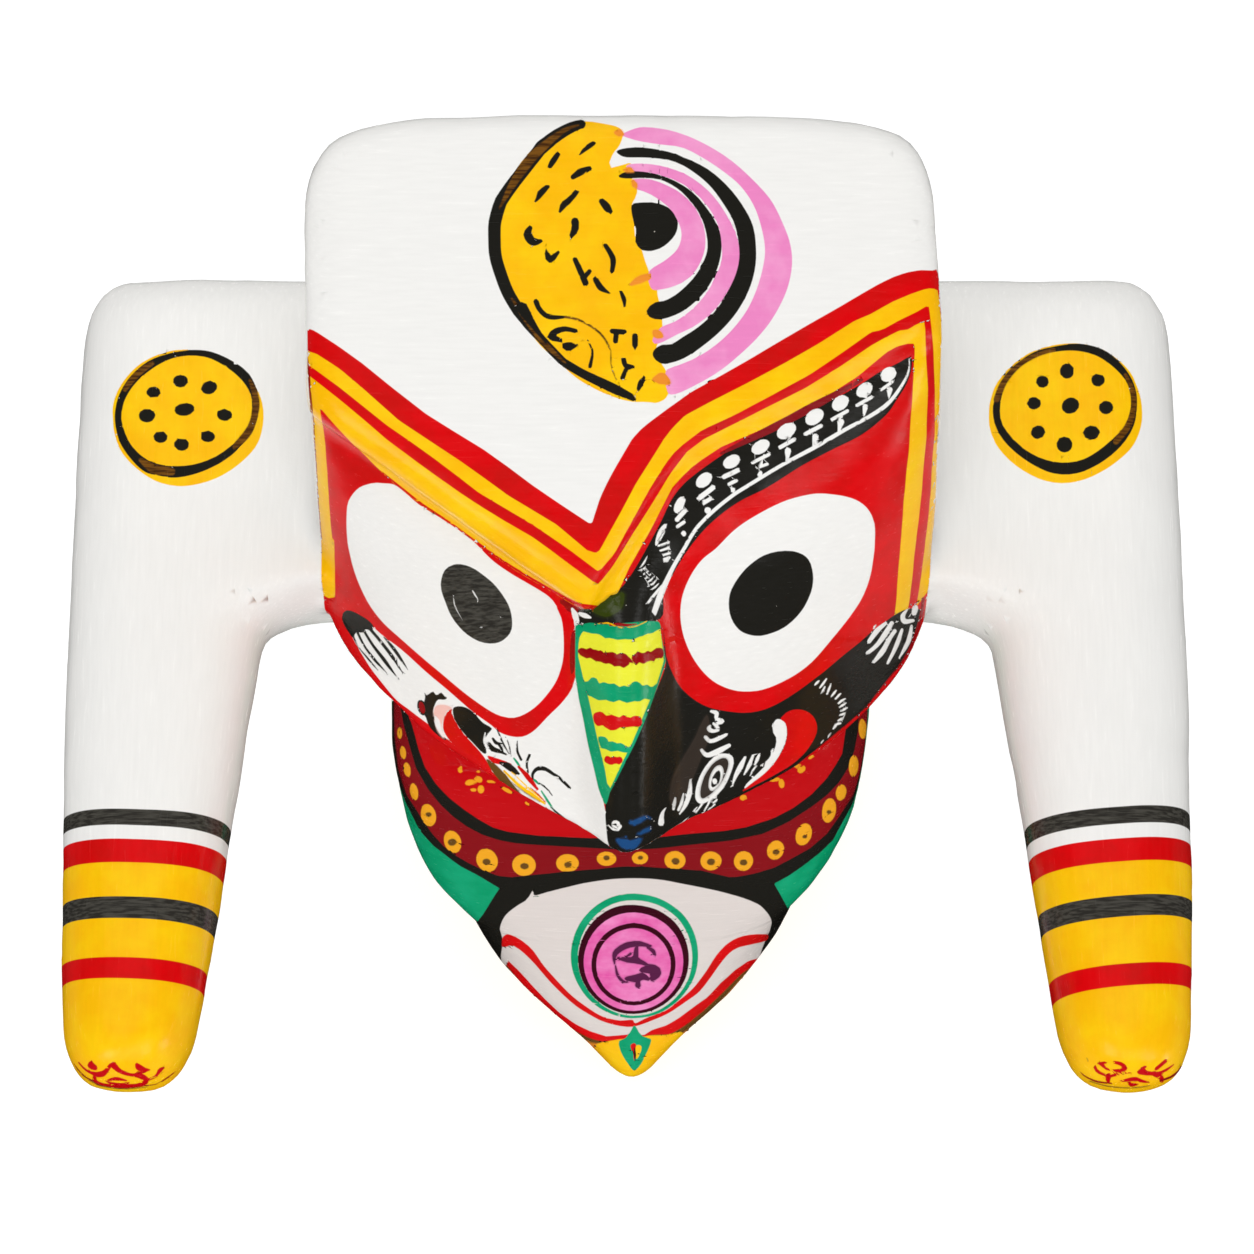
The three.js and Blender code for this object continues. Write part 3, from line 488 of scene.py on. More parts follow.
NOSE_STRIP = (
    ("nose", (
        ("green", "panel", (84, 184, 160, 170, 240, 180, 460, 162, 520, 165, 532, 260, 546, 335, 552, 370,
         510, 500, 450, 660, 385, 815, 335, 915, 288, 1010, 262, 1056, 246, 1118, 232, 1116, 205, 1040, 180,
         950, 150, 820, 122, 690, 96, 580, 78, 440, 82, 330)),
        ("lime", "panel", (108, 235, 125, 215, 180, 222, 525, 200, 534, 280, 542, 365, 505, 485, 440, 640,
         372, 808, 325, 905, 296, 965, 264, 1034, 246, 1010, 232, 930, 208, 830, 180, 700, 150, 575, 118,
         450, 96, 345, 100, 280)),
        ("green", "panel", (84, 184, 160, 170, 240, 192, 310, 200, 400, 190, 460, 162, 520, 165, 530, 202,
         505, 212, 480, 228, 455, 228, 430, 240, 405, 245, 380, 262, 340, 255, 300, 262, 262, 250, 235, 254,
         205, 230, 165, 228, 122, 214, 104, 248, 92, 250)),
        ("dark_red", "wash", (93, 318, 112, 300, 140, 308, 160, 300, 185, 318, 215, 318, 235, 332, 262, 328,
         290, 340, 315, 328, 345, 335, 370, 360, 385, 345, 405, 322, 435, 330, 460, 320, 480, 325, 500, 302,
         528, 304, 542, 325, 532, 355, 505, 352, 490, 372, 462, 368, 440, 385, 410, 380, 396, 394, 378, 372,
         362, 386, 335, 408, 308, 396, 285, 402, 262, 385, 235, 388, 205, 375, 185, 374, 160, 355, 135, 358,
         112, 340)),
        ("green", "wash", (122, 478, 140, 482, 165, 458, 190, 466, 205, 488, 230, 480, 255, 492, 285, 488,
         310, 508, 335, 498, 360, 505, 380, 480, 408, 478, 430, 500, 455, 494, 478, 506, 502, 488, 492, 540,
         470, 568, 440, 566, 415, 582, 385, 580, 350, 590, 310, 575, 275, 588, 240, 575, 200, 578, 160, 556,
         140, 545)),
        ("scarlet", "wash", (176, 652, 200, 634, 228, 640, 245, 658, 265, 648, 290, 655, 310, 665, 335, 652,
         360, 668, 385, 656, 412, 658, 424, 675, 418, 700, 395, 714, 370, 705, 350, 716, 325, 710, 300, 726,
         270, 732, 245, 722, 225, 706, 200, 710, 180, 690)),
        ("green", "wash", (200, 772, 222, 764, 245, 772, 255, 792, 280, 790, 300, 800, 325, 796, 345, 815,
         372, 822, 358, 846, 330, 848, 300, 838, 270, 844, 240, 832, 214, 822)),
        ("scarlet", "wash", (230, 885, 250, 868, 270, 876, 290, 870, 308, 882, 320, 892, 312, 912, 290, 906,
         268, 914, 245, 908)),
        ("dark_red", "stroke", (262, 184, 300, 180, 350, 182, 400, 178), (10, 18, 14, 6)),
    )),
    ("whole", (
        ("dark_red", "ovals", (583, 652, 588.5, 653, 594, 653.5, 600, 654.5, 606.5, 656, 613, 656, 619.5,
         658, 625.5, 659.5, 635, 658, 641.5, 657, 647.5, 655, 654, 654, 659.5, 652), (3.6, 4.3, 0)),
        ("scarlet", "ovals", (598, 717.5, 605, 720, 611.5, 721.5, 618, 722, 624.5, 722.5, 631.5, 722, 637.5,
         721.5), (4.2, 4.9, 0)),
        ("scarlet", "ovals", (607.5, 759.5, 613.5, 760, 619.5, 760), (3.3, 3.8, 0)),
    )),
    ("nose", (
        ("yellow", "stroke", (180, 180, 250, 172, 310, 196, 390, 190, 456, 162), (4, 7, 6, 6, 4)),
        ("blue", "stroke", (366, 1208, 383, 1223, 392, 1232), (8, 14, 8)),
        ("blue", "stroke", (420, 1192, 413, 1210, 398, 1222), (6, 12, 6)),
        ("blue", "stroke", (300, 1300, 322, 1325, 336, 1344), (6, 12, 6)),
        ("blue", "stroke", (346, 1288, 333, 1312, 312, 1330), (8, 12, 6)),
        ("blue", "stroke", (352, 1346, 381, 1326, 402, 1300), (6, 14, 8)),
        ("blue", "stroke", (440, 1252, 461, 1249, 474, 1240), (6, 12, 6)),
        ("blue", "stroke", (382, 1222, 413, 1215, 436, 1202), (8, 12, 8)),
        ("blue", "stroke", (402, 1276, 425, 1272, 440, 1262), (6, 12, 6)),
        ("blue", "stroke", (450, 1180, 468, 1191, 478, 1196), (6, 10, 6)),
    )),
    ("whole", (
        ("blue", "stroke", (618, 840, 624, 844, 632, 845, 640, 840), (4, 9, 9, 4)),
        ("blue", "stroke", (641, 833, 645, 831, 650, 830), (2, 4, 4, 2)),
        ("blue", "stroke", (630, 823, 638, 821, 646, 817), (2, 5, 3)),
        ("white", "stroke", (608.5, 825, 613, 829, 619, 829.5, 621.5, 825.5), (1, 2, 2, 1.5)),
        ("white", "ovals", (616, 824), (4.2, 4, 0)),
        ("black", "ovals", (615.5, 824.5), (1.7, 1.5, 0)),
    )),
)

LEFT_ARM = (
    ("left_disc", (
        ("yellow", "wash", (345, 580, 350, 480, 400, 360, 500, 240, 620, 165, 750, 132, 880, 130, 1000, 150,
         1120, 200, 1230, 290, 1290, 390, 1325, 500, 1325, 620, 1290, 740, 1210, 840, 1090, 930, 960, 990,
         820, 1020, 700, 1010, 590, 970, 480, 890, 400, 790, 355, 680)),
        ("black", "wash", (360, 600, 365, 500, 400, 400, 470, 290, 580, 200, 720, 150, 860, 130, 980, 142,
         1100, 190, 1215, 265, 1270, 350, 1300, 450, 1298, 550, 1260, 660, 1190, 750, 1090, 840, 960, 910,
         830, 955, 730, 965, 640, 950, 550, 925, 460, 840, 390, 730)),
        ("sepia", "stroke", (425, 390, 505, 285, 600, 215), (30, 42, 30)),
        ("sepia", "stroke", (1240, 330, 1276, 430, 1276, 530, 1225, 665, 1140, 765), (20, 44, 46, 60, 30)),
        ("sepia", "stroke", (530, 850, 610, 905, 730, 925), (30, 70, 50)),
        ("yellow", "wash", (405, 600, 405, 530, 430, 440, 500, 340, 600, 250, 720, 190, 850, 168, 980, 185,
         1100, 250, 1190, 330, 1240, 410, 1255, 490, 1240, 590, 1190, 680, 1100, 770, 990, 840, 870, 880,
         750, 890, 660, 880, 560, 840, 480, 770, 430, 690)),
        ("black", "ovals", (788, 333), (50, 42, 0)),
        ("black", "ovals", (612, 405), (47, 38, 0)),
        ("black", "ovals", (975, 375), (55, 45, -10)),
        ("black", "ovals", (567, 560), (55, 45, 0)),
        ("black", "ovals", (812, 520), (67, 43, -5)),
        ("black", "ovals", (1075, 555), (52, 40, 10)),
        ("black", "ovals", (657, 700), (47, 40, 0)),
        ("black", "ovals", (795, 748), (50, 42, 0)),
        ("black", "ovals", (965, 697), (50, 38, 10)),
    )),
    ("left_tip", (
        ("crimson", "stroke", (232, 808, 275, 858, 330, 895, 400, 922), (16, 19, 23, 42)),
        ("crimson", "stroke", (410, 925, 470, 915, 512, 880, 540, 840, 566, 822), (55, 65, 49, 35, 39)),
        ("crimson", "stroke", (575, 835, 620, 880, 690, 915, 790, 930, 930, 880), (65, 39, 35, 30, 14)),
        ("crimson", "stroke", (395, 925, 385, 965, 405, 1005, 480, 1030, 620, 1042, 760, 1040), (35, 42, 32,
         39, 49, 42)),
        ("crimson", "stroke", (760, 1040, 850, 1025, 890, 990, 870, 955, 800, 935), (32, 42, 49, 55, 49)),
        ("crimson", "stroke", (500, 992, 590, 965, 700, 985), (16, 39, 16)),
        ("crimson", "stroke", (520, 1000, 600, 1025, 680, 1020, 725, 1005), (16, 42, 32, 16)),
        ("crimson", "stroke", (362, 806, 348, 835, 392, 858), (32, 65, 55)),
        ("crimson", "stroke", (808, 832, 820, 858, 870, 878, 930, 885), (49, 65, 35, 14)),
        ("crimson", "stroke", (880, 985, 960, 960, 1010, 925, 1035, 885, 1066, 862), (23, 26, 26, 42, 26)),
        ("dark_red", "stroke", (180, 818, 220, 880, 290, 950, 370, 990), (6, 14, 16, 20)),
        ("dark_red", "stroke", (880, 1035, 990, 1022, 1090, 970, 1182, 900), (14, 12, 14, 10)),
        ("umber", "stroke", (330, 985, 480, 1042, 700, 1066, 900, 1050), (8, 12, 12, 8)),
    )),
)

RIGHT_ARM = (
    ("right_disc", (
        ("yellow", "wash", (185, 570, 195, 470, 240, 350, 330, 240, 450, 150, 600, 100, 760, 88, 900, 115,
         1020, 180, 1110, 270, 1160, 380, 1190, 500, 1185, 620, 1140, 740, 1060, 830, 950, 910, 820, 975,
         690, 1000, 560, 985, 430, 930, 320, 850, 240, 750, 200, 660)),
        ("black", "wash", (215, 560, 225, 450, 270, 340, 350, 240, 470, 150, 600, 110, 760, 92, 900, 115,
         1010, 175, 1100, 280, 1145, 390, 1155, 500, 1140, 610, 1090, 710, 1010, 800, 900, 880, 780, 930,
         670, 945, 560, 920, 440, 860, 330, 770, 250, 670)),
        ("sepia", "stroke", (240, 455, 285, 350, 370, 245, 480, 175, 610, 130), (40, 46, 44, 36, 30)),
        ("sepia", "stroke", (1080, 290, 1128, 400, 1132, 510, 1100, 620, 1020, 730), (20, 34, 34, 44, 40)),
        ("yellow", "wash", (262, 540, 270, 440, 310, 340, 400, 240, 520, 170, 640, 140, 760, 138, 890, 165,
         1000, 240, 1080, 330, 1115, 430, 1110, 530, 1070, 630, 1000, 710, 900, 790, 800, 845, 700, 865,
         600, 860, 500, 825, 400, 760, 320, 680, 275, 610)),
        ("black", "ovals", (700, 268), (48, 50, 0)),
        ("black", "ovals", (540, 337), (43, 40, 0)),
        ("black", "ovals", (903, 328), (45, 43, 0)),
        ("black", "ovals", (483, 478), (47, 42, 0)),
        ("black", "ovals", (722, 493), (60, 52, -30)),
        ("black", "ovals", (953, 505, 509, 668), (48, 45, 0)),
        ("black", "ovals", (682, 748), (53, 52, -20)),
        ("black", "ovals", (860, 670), (57, 47, -10)),
        ("black", "stroke", (704, 212, 704, 240), (6, 30)),
    )),
    ("right_tip", (
        ("crimson", "stroke", (575, 825, 610, 835, 640, 870, 720, 890, 820, 880, 838, 858), (35, 30, 21, 23,
         35, 44)),
        ("crimson", "stroke", (838, 858, 790, 825, 725, 808), (44, 41, 30)),
        ("crimson", "stroke", (575, 825, 640, 812), (23, 23)),
        ("crimson", "stroke", (535, 852, 560, 895, 620, 932, 690, 945, 780, 925, 890, 912), (28, 28, 23, 30,
         21, 11)),
        ("crimson", "stroke", (670, 945, 668, 975, 672, 1005), (58, 51, 23)),
        ("crimson", "stroke", (1035, 850, 975, 890, 1000, 905, 1110, 912, 1210, 885, 1310, 825), (23, 51,
         46, 25, 23, 11)),
        ("crimson", "stroke", (1228, 790, 1138, 868), (35, 36)),
        ("crimson", "stroke", (1110, 922, 1180, 945, 1190, 985), (35, 51, 46)),
        ("crimson", "stroke", (785, 995, 850, 985, 930, 970, 985, 985, 1070, 998), (16, 35, 46, 35, 16)),
        ("crimson", "stroke", (870, 1000, 890, 1030, 950, 1020), (30, 39, 30)),
        ("yellow", "stroke", (925, 1000, 960, 1005), (20, 26)),
        ("dark_red", "stroke", (388, 885, 440, 940, 540, 990, 640, 1010, 700, 1015), (8, 14, 18, 22, 14)),
        ("dark_red", "stroke", (1180, 980, 1270, 950, 1350, 895, 1388, 845), (26, 26, 30, 14)),
        ("umber", "stroke", (480, 990, 650, 1045, 870, 1062, 1080, 1035), (8, 12, 12, 8)),
        ("umber", "stroke", (455, 765, 468, 800), (4, 6)),
    )),
)

CHEST = (
    ("whole", (
        ("black", "panel", (380, 690, 404, 690, 407, 705, 412, 725, 418, 747, 424.5, 766.5, 436, 784, 450,
         798.5, 464, 810, 479, 820.5, 493, 828, 507.5, 832, 540, 836, 590, 838, 650, 838, 699, 833.5, 724,
         831, 747, 827, 772, 819, 794.5, 808, 812, 795, 826.5, 779, 836, 765, 842.5, 754, 846, 730, 848,
         690, 890, 690, 890, 960, 380, 960)),
        ("maroon", "panel", (380, 690, 398, 690, 400, 706, 403.5, 724, 408.5, 744, 416, 768, 428, 789, 440,
         804, 453.5, 817.5, 467, 827, 482, 835, 498, 840, 514, 843, 558.5, 846, 620, 849, 660, 848, 699,
         844.5, 732, 840, 762.5, 833.5, 788, 822, 810.5, 808, 827, 796, 839, 782.5, 848, 768, 855, 750.5,
         859, 730, 861, 690, 890, 690, 890, 960, 380, 960)),
        ("black", "panel", (380, 690, 394, 690, 395, 740, 399, 770, 407, 795, 421.5, 817.5, 432, 833, 444,
         846.5, 456, 856, 469.5, 864, 483, 871, 498, 876.5, 518, 878.5, 539.5, 878, 558, 876.5, 577.5,
         873.5, 590, 871, 603, 868.5, 626, 866, 651, 867, 667, 869, 683, 872, 700, 875.5, 718, 878, 738,
         877, 756, 873.5, 774, 868, 791.5, 859, 810, 848, 826.5, 833.5, 840, 815, 852, 795, 860, 770, 866,
         740, 870, 690, 890, 690, 890, 960, 380, 960)),
        ("green", "panel", (380, 690, 391, 690, 392, 745, 396, 776, 404, 800, 420, 830.5, 434, 846, 450,
         859, 462, 868, 475.5, 875, 487, 882, 499.5, 889, 492, 900, 483, 914, 478, 925, 380, 960)),
        ("green", "panel", (890, 690, 873, 690, 870, 745, 863, 776, 852, 803, 833, 840, 820, 853, 804,
         865.5, 790, 875, 774, 883.5, 779, 892, 785, 903, 789, 912, 890, 960)),
        ("amber", "ovals", (399.5, 733), (2.3, 6, 0)),
        ("amber", "ovals", (403, 752.5), (2.9, 6.7, -10)),
        ("amber", "ovals", (407.5, 769.5), (3.4, 7.2, -12)),
        ("amber", "ovals", (414.5, 791.5), (3.8, 8.6, -10)),
        ("amber", "ovals", (428.5, 815), (7.2, 11.4, -14)),
        ("amber", "ovals", (452.5, 842), (8.2, 11.5, -22)),
        ("amber", "ovals", (487, 860.5), (10.5, 12.2, -25)),
        ("amber", "ovals", (524, 865), (11.8, 11.5, 0)),
        ("amber", "ovals", (567.5, 863), (11.4, 9.2, 0)),
        ("amber", "ovals", (606.5, 858.5), (9.8, 7.4, 0)),
        ("amber", "ovals", (640, 857.5), (8.2, 6.6, 0)),
        ("amber", "ovals", (675, 860), (10.6, 9.2, 5)),
        ("amber", "ovals", (711, 861), (10.6, 9.4, 0)),
        ("amber", "ovals", (743.5, 861), (9.6, 10.2, 15)),
        ("amber", "ovals", (775.5, 850), (8.4, 10.2, 20)),
        ("amber", "ovals", (803.5, 834), (7.8, 11.3, 20)),
        ("amber", "ovals", (829, 810.5), (6.8, 12.2, 12)),
        ("amber", "ovals", (841, 792.5), (5, 8.2, 10)),
        ("amber", "ovals", (853.5, 766), (4.6, 10.8, 5)),
        ("amber", "ovals", (863, 729), (3.6, 10, 0)),
        ("umber", "ovals", (428.5, 814.5), (3, 2.4, 0)),
        ("umber", "ovals", (452, 842.5), (4.3, 3.5, 0)),
        ("umber", "ovals", (486.5, 862), (4.1, 3.3, 0)),
        ("umber", "ovals", (524.5, 866), (4.3, 3.5, 0)),
        ("umber", "ovals", (568, 864.5), (3.8, 3.1, 0)),
        ("umber", "ovals", (606.5, 857.5), (3.2, 2.6, 0)),
        ("umber", "ovals", (640.5, 857), (2.7, 2.2, 0)),
        ("umber", "ovals", (675.5, 861, 711, 862), (4.1, 3.3, 0)),
        ("umber", "ovals", (743.5, 862.5), (3.8, 3.1, 0)),
        ("umber", "ovals", (776, 852), (3.5, 2.9, 0)),
        ("umber", "ovals", (804.5, 836, 829, 812), (2.4, 2, 0)),
    )),
    ("left_cheek", (
        ("amber", "ovals", (745, 1062), (17, 26, 0)),
        ("amber", "ovals", (735, 1096), (14, 18, 0)),
        ("amber", "ovals", (785, 1160), (26, 15, -15)),
        ("amber", "ovals", (828, 1146), (22, 16, 20)),
        ("amber", "ovals", (842, 1196), (17, 22, 0)),
        ("amber", "ovals", (802, 1200), (16, 9, 0)),
        ("amber", "ovals", (822, 1100), (16, 8, 30)),
        ("amber", "ovals", (895, 1158), (24, 8, 10)),
        ("amber", "ovals", (978, 1206), (34, 10, 30)),
        ("amber", "ovals", (1082, 1276), (16, 7, 35)),
    )),
    ("right_cheek", (
        ("amber", "ovals", (935, 965), (17, 10, -20)),
        ("amber", "ovals", (866, 1008), (22, 8, -10)),
        ("amber", "ovals", (884, 1028), (16, 16, 0)),
        ("amber", "ovals", (757, 1076), (26, 10, -10)),
        ("amber", "ovals", (792, 1096), (14, 24, -10)),
        ("amber", "ovals", (606, 1166), (18, 14, 0)),
        ("amber", "ovals", (898, 1022), (10, 14, 0)),
    )),
)

BASE_FRONT = (
    ("whole", (
        ("black", "panel", (533, 891.5, 500, 880, 499.5, 889, 492, 900, 483, 914, 474, 926, 490, 945, 515,
         945, 640, 945, 760, 945, 790, 925, 789, 912, 785, 903, 779, 892, 774, 883.5, 740, 880, 700, 870,
         640, 866, 560, 872, 510, 878)),
    )),
    ("base", (
        ("cream", "wash", (268, 152, 276, 182, 340, 165, 440, 140, 560, 115, 680, 95, 790, 90, 900, 97,
         1040, 118, 1150, 145, 1300, 182, 1390, 215, 1440, 250, 1472, 300, 1468, 350, 1446, 400, 1420, 480,
         1420, 560, 1340, 700, 1180, 850, 1000, 960, 780, 1080, 600, 980, 400, 860, 220, 690, 120, 560, 112,
         400, 100, 345, 130, 278, 190, 232, 238, 202)),
        ("green", "ovals", (782, 484), (322, 316, 0)),
        ("cream", "ovals", (783, 492), (290, 293, 0)),
        ("wine", "ovals", (777, 500), (280, 277, 0)),
        ("rose", "ovals", (776, 514), (252, 249, 0)),
        ("black", "stroke", (776, 310, 776, 330), (4, 16)),
        ("wine", "ovals", (776, 526), (213, 209, 0)),
        ("rose", "ovals", (776, 528), (188, 186, 0)),
        ("plum", "stroke", (680, 520, 684, 470, 730, 432, 800, 420, 862, 432), (10, 30, 34, 30, 16)),
        ("plum", "stroke", (700, 492, 740, 500, 800, 508, 850, 530), (14, 34, 30, 16)),
        ("plum", "stroke", (792, 440, 786, 492), (20, 30)),
        ("plum", "stroke", (822, 556, 868, 552, 890, 570, 872, 600), (30, 50, 56, 30)),
        ("plum", "stroke", (742, 600, 790, 600, 822, 590, 850, 602), (22, 40, 40, 20)),
        ("plum", "stroke", (800, 610, 800, 636), (22, 30)),
        ("plum", "stroke", (686, 530, 696, 580, 722, 612, 748, 618), (8, 16, 18, 10)),
        ("plum", "stroke", (846, 440, 874, 458, 886, 486), (12, 22, 12)),
        ("plum", "stroke", (732, 490, 760, 470), (8, 16)),
        ("red", "wash", (112, 440, 112, 400, 128, 380, 152, 380, 200, 402, 262, 452, 320, 530, 380, 600,
         460, 680, 540, 740, 620, 788, 700, 810, 768, 808, 786, 824, 840, 800, 940, 760, 1010, 710, 1080,
         650, 1140, 570, 1200, 480, 1260, 420, 1340, 385, 1450, 374, 1450, 408, 1380, 425, 1290, 452, 1230,
         512, 1170, 592, 1110, 670, 1040, 722, 960, 772, 870, 812, 780, 842, 700, 836, 620, 815, 560, 782,
         480, 730, 400, 660, 340, 600, 280, 530, 220, 470, 165, 434, 136, 440)),
        ("red", "panel", (146, 505, 200, 556, 260, 628, 330, 700, 400, 768, 480, 828, 560, 868, 640, 893,
         720, 884, 780, 880, 830, 884, 870, 860, 940, 838, 1010, 800, 1080, 750, 1150, 700, 1220, 622, 1290,
         560, 1360, 510, 1430, 494, 1600, 800, 800, 1300, 0, 800)),
        ("umber", "panel", (140, 528, 190, 604, 250, 672, 320, 742, 400, 812, 480, 866, 560, 906, 630, 922,
         700, 914, 780, 940, 870, 886, 960, 882, 1050, 832, 1130, 772, 1200, 702, 1260, 642, 1330, 572,
         1415, 516, 1600, 800, 800, 1300, 0, 800)),
        ("orange", "panel", (170, 590, 230, 668, 300, 742, 380, 812, 460, 876, 560, 926, 600, 934, 780, 980,
         930, 900, 1010, 888, 1100, 832, 1180, 762, 1260, 672, 1340, 582, 1395, 540, 1600, 800, 800, 1300,
         0, 800)),
        ("yellow", "panel", (606, 926, 700, 908, 780, 900, 860, 888, 940, 885, 1012, 868, 1040, 880, 1000,
         1000, 900, 1200, 660, 1200, 560, 1000, 590, 930)),
        ("green", "wash", (780, 836, 762, 868, 735, 900, 702, 918, 706, 950, 722, 990, 750, 1035, 780, 1064,
         812, 1035, 838, 985, 858, 940, 866, 906, 835, 898, 808, 876, 795, 852)),
        ("scarlet", "wash", (762, 936, 790, 934, 782, 1016, 774, 985)),
        ("yellow", "wash", (790, 940, 818, 944, 806, 985, 790, 1005)),
        ("black", "stroke", (782, 950, 784, 985, 785, 1014), (6, 12, 4)),
    )),
)

# Bands round each arm, from the elbow to the tip: the step where each starts, and its pot; the dark bands are
# black with a painted grey sheen, the reflection of light from above
LEFT_BANDS = ((808, "slate"), (824, "white"), (838, "red"), (861.5, "yellow"), (895.5, "slate"),
              (917, "yellow"), (956, "red"), (977, "yellow"))
RIGHT_BANDS = ((806.5, "slate"), (823.5, "white"), (838, "red"), (861, "yellow"), (895, "slate"),
               (916, "yellow"), (963, "red"), (985, "yellow"))

# Each arm's side, bands and shapes, then where its middle line lies and how its bands slant off square
ARMS = ((-1, LEFT_BANDS, LEFT_ARM, -0.0835, -0.03), (1, RIGHT_BANDS, RIGHT_ARM, 0.0828, 0.075))
ARM_RISE = 0.014

# Where the forms of the carving part, and where the painting on the head ends, in metres
ARM_SIDE = 0.0546
HEAD_FOOT = 0.094
LIP_TOP = 0.1038
LIP_BACK = 0.001
FACE_FOOT = 0.1026
LEFT_CHEEK = 0.0538
RIGHT_CHEEK = 0.0522
CHEEK_BOW = 0.0013
CHEEK_BOW_MIDDLE = 0.0252
CHEEK_BOW_REACH = 0.028
CHEEK_DRAWN_IN = 0.0009

# The body's bands, with how high each reaches, and the collar's, with how far inside its edge each starts
BODY_BANDS = (("black", 0.046), ("umber", 0.0105), ("yellow", 0.0085))
COLLAR_BANDS = (("black", 0), ("maroon", 0.0035), ("black", 0.011))
COLLAR_LEAN = 1.05
LEFT_COLLAR = 0.0953
RIGHT_COLLAR = 0.0862
CHEST_FOOT = 0.045
FRONT_HEIGHTS = (0.046, 0.052, 0.064, 0.088)
FRONT_SIDES = (-0.026, -0.022, -0.019, 0.002)

# Depths are followed this many steps from a coat's edge, and a coat thins out this many steps as the
# wood turns by one radian out of sight
FAR = 10.0
TURNING = 36

# The net over the carving: grain, in metres, and smoothing passes of the form that it is laid on and of
# the net itself, then the longest edges left on a bend, and near a coat's edge, with a reach in steps
FORM_GRAIN = 0.0010
FORM_SMOOTHING = 12
NET_GRAIN = 0.0027
NET_SMOOTHING = 4
CURVED_SPLIT = 0.0016
EDGE_SPLITS = ((0.0010, 2.4), (0.0005, 1.2))
FINEST_SPLIT = (0.00028, 0.6)
SAME_DIRECTION = 0.965
SOLE = 0.0008
KNIFE_STROKE = 0.014
KNIFE_DEPTH = 0.0007


def only(piece):
    """Nothing but this piece is selected."""
    bpy.ops.object.select_all(action="DESELECT")
    piece.select_set(True)
    bpy.context.view_layer.objects.active = piece


def finish_with(piece, kind, **settings):
    """Adds a modifier and applies it."""
    only(piece)
    bpy.ops.object.modifier_add(type=kind)
    tool = piece.modifiers[-1]
    for name, value in settings.items():
        setattr(tool, name, value)
    bpy.ops.object.modifier_apply(modifier=tool.name)


def carving(name, grain, passes):
    """The figure's form in an even net, without the flat facets of the solid."""
    piece = bpy.data.objects.new(name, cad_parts["figure"].data.copy())
    bpy.context.scene.collection.objects.link(piece)
    piece.data.materials.clear()
    only(piece)
    bpy.ops.object.mode_set(mode="EDIT")
    bpy.ops.mesh.select_all(action="SELECT")
    bpy.ops.mesh.remove_doubles(threshold=1e-5)
    bpy.ops.object.mode_set(mode="OBJECT")
    finish_with(piece, "REMESH", mode="VOXEL", voxel_size=grain)
    finish_with(piece, "SMOOTH", factor=0.5, iterations=passes)
    return piece


def at_each_point(piece, what):
    """The place or the direction of each point of the net."""
    values = np.zeros(len(piece.data.vertices) * 3)
    piece.data.vertices.foreach_get(what, values)
    return values.reshape(-1, 3)


def on_the_drawing(points):
    """Where each point of the carving falls on the drawing, in steps."""
    forward = np.array((AIM - EYE).normalized())
    up = np.array((0, math.sin(TILT), math.cos(TILT)))
    from_eye = points - np.array(EYE)
    depth = from_eye @ forward
    across = DRAWING / 2 + FOCAL * from_eye[:, 0] / depth
    down = DRAWING / 2 - FOCAL * (from_eye @ up) / depth
    return np.column_stack((across, down))


def rounded(path, closed, cuts=4):
    """A smooth line through the points."""
    count = len(path)
    line = []
    for i in range(count if closed else count - 1):
        if closed:
            a, b, c, d = (path[(i + k) % count] for k in (-1, 0, 1, 2))
        else:
            a, b, c, d = path[max(i - 1, 0)], path[i], path[i + 1], path[min(i + 2, count - 1)]
        for k in range(cuts):
            t = k / cuts
            line.append(b + (c - a) * t / 2 + (2 * a - 5 * b + 4 * c - d) * t**2 / 2
                        + (3 * b - a - 3 * c + d) * t**3 / 2)
    if not closed:
        line.append(path[-1])
    return np.array(line)


def from_segment(spots, a, b):
    """How far each spot is from a straight piece of line, and how far along the piece it lies."""
    run = b - a
    along = np.clip(((spots - a) @ run) / max(run @ run, 1e-9), 0, 1)
    return np.hypot(*(spots - a - along[:, None] * run).T), along


def depth_in_fill(spots, outline):
    """How far inside the outline each spot is, and less than nothing outside."""
    order = np.argsort(spots[:, 1])
    spots = spots[order]
    nearest = np.full(len(spots), FAR)
    inside = np.zeros(len(spots), bool)
    for a, b in zip(outline, np.roll(outline, -1, axis=0)):
        top, foot = min(a[1], b[1]), max(a[1], b[1])
        first, last = np.searchsorted(spots[:, 1], (top - FAR, foot + FAR))
        if first < last:
            away = from_segment(spots[first:last], a, b)[0]
            nearest[first:last] = np.minimum(nearest[first:last], away)
        first, last = np.searchsorted(spots[:, 1], (top, foot))
        if first < last:
            level = a[0] + (spots[first:last, 1] - a[1]) * (b[0] - a[0]) / (b[1] - a[1])
            inside[first:last] ^= spots[first:last, 0] < level
    depth = np.zeros(len(spots))
    depth[order] = np.where(inside, nearest, -nearest)
    return depth


def depth_in_stroke(spots, path, widths):
    """How far inside a brush stroke each spot is; its width changes along it."""
    line = rounded(path, False)
    lengths = np.concatenate(((0,), np.cumsum(np.hypot(*np.diff(line, axis=0).T))))
    wide = np.interp(lengths / lengths[-1], np.linspace(0, 1, len(widths)), widths)
    deepest = np.full(len(spots), -1e9)
    for a, b, here, there in zip(line, line[1:], wide, wide[1:]):
        away, along = from_segment(spots, a, b)
        deepest = np.maximum(deepest, (here + (there - here) * along) / 2 - away)
    return deepest


def oval_outline(middle, across, down, turn):
    angles = np.linspace(0, 2 * math.pi, 20 + int(max(across, down)), endpoint=False)
    x, y = across * np.cos(angles), down * np.sin(angles)
    tilt = math.radians(turn)
    return middle + np.column_stack((x * math.cos(tilt) - y * math.sin(tilt),
                                     x * math.sin(tilt) + y * math.cos(tilt)))


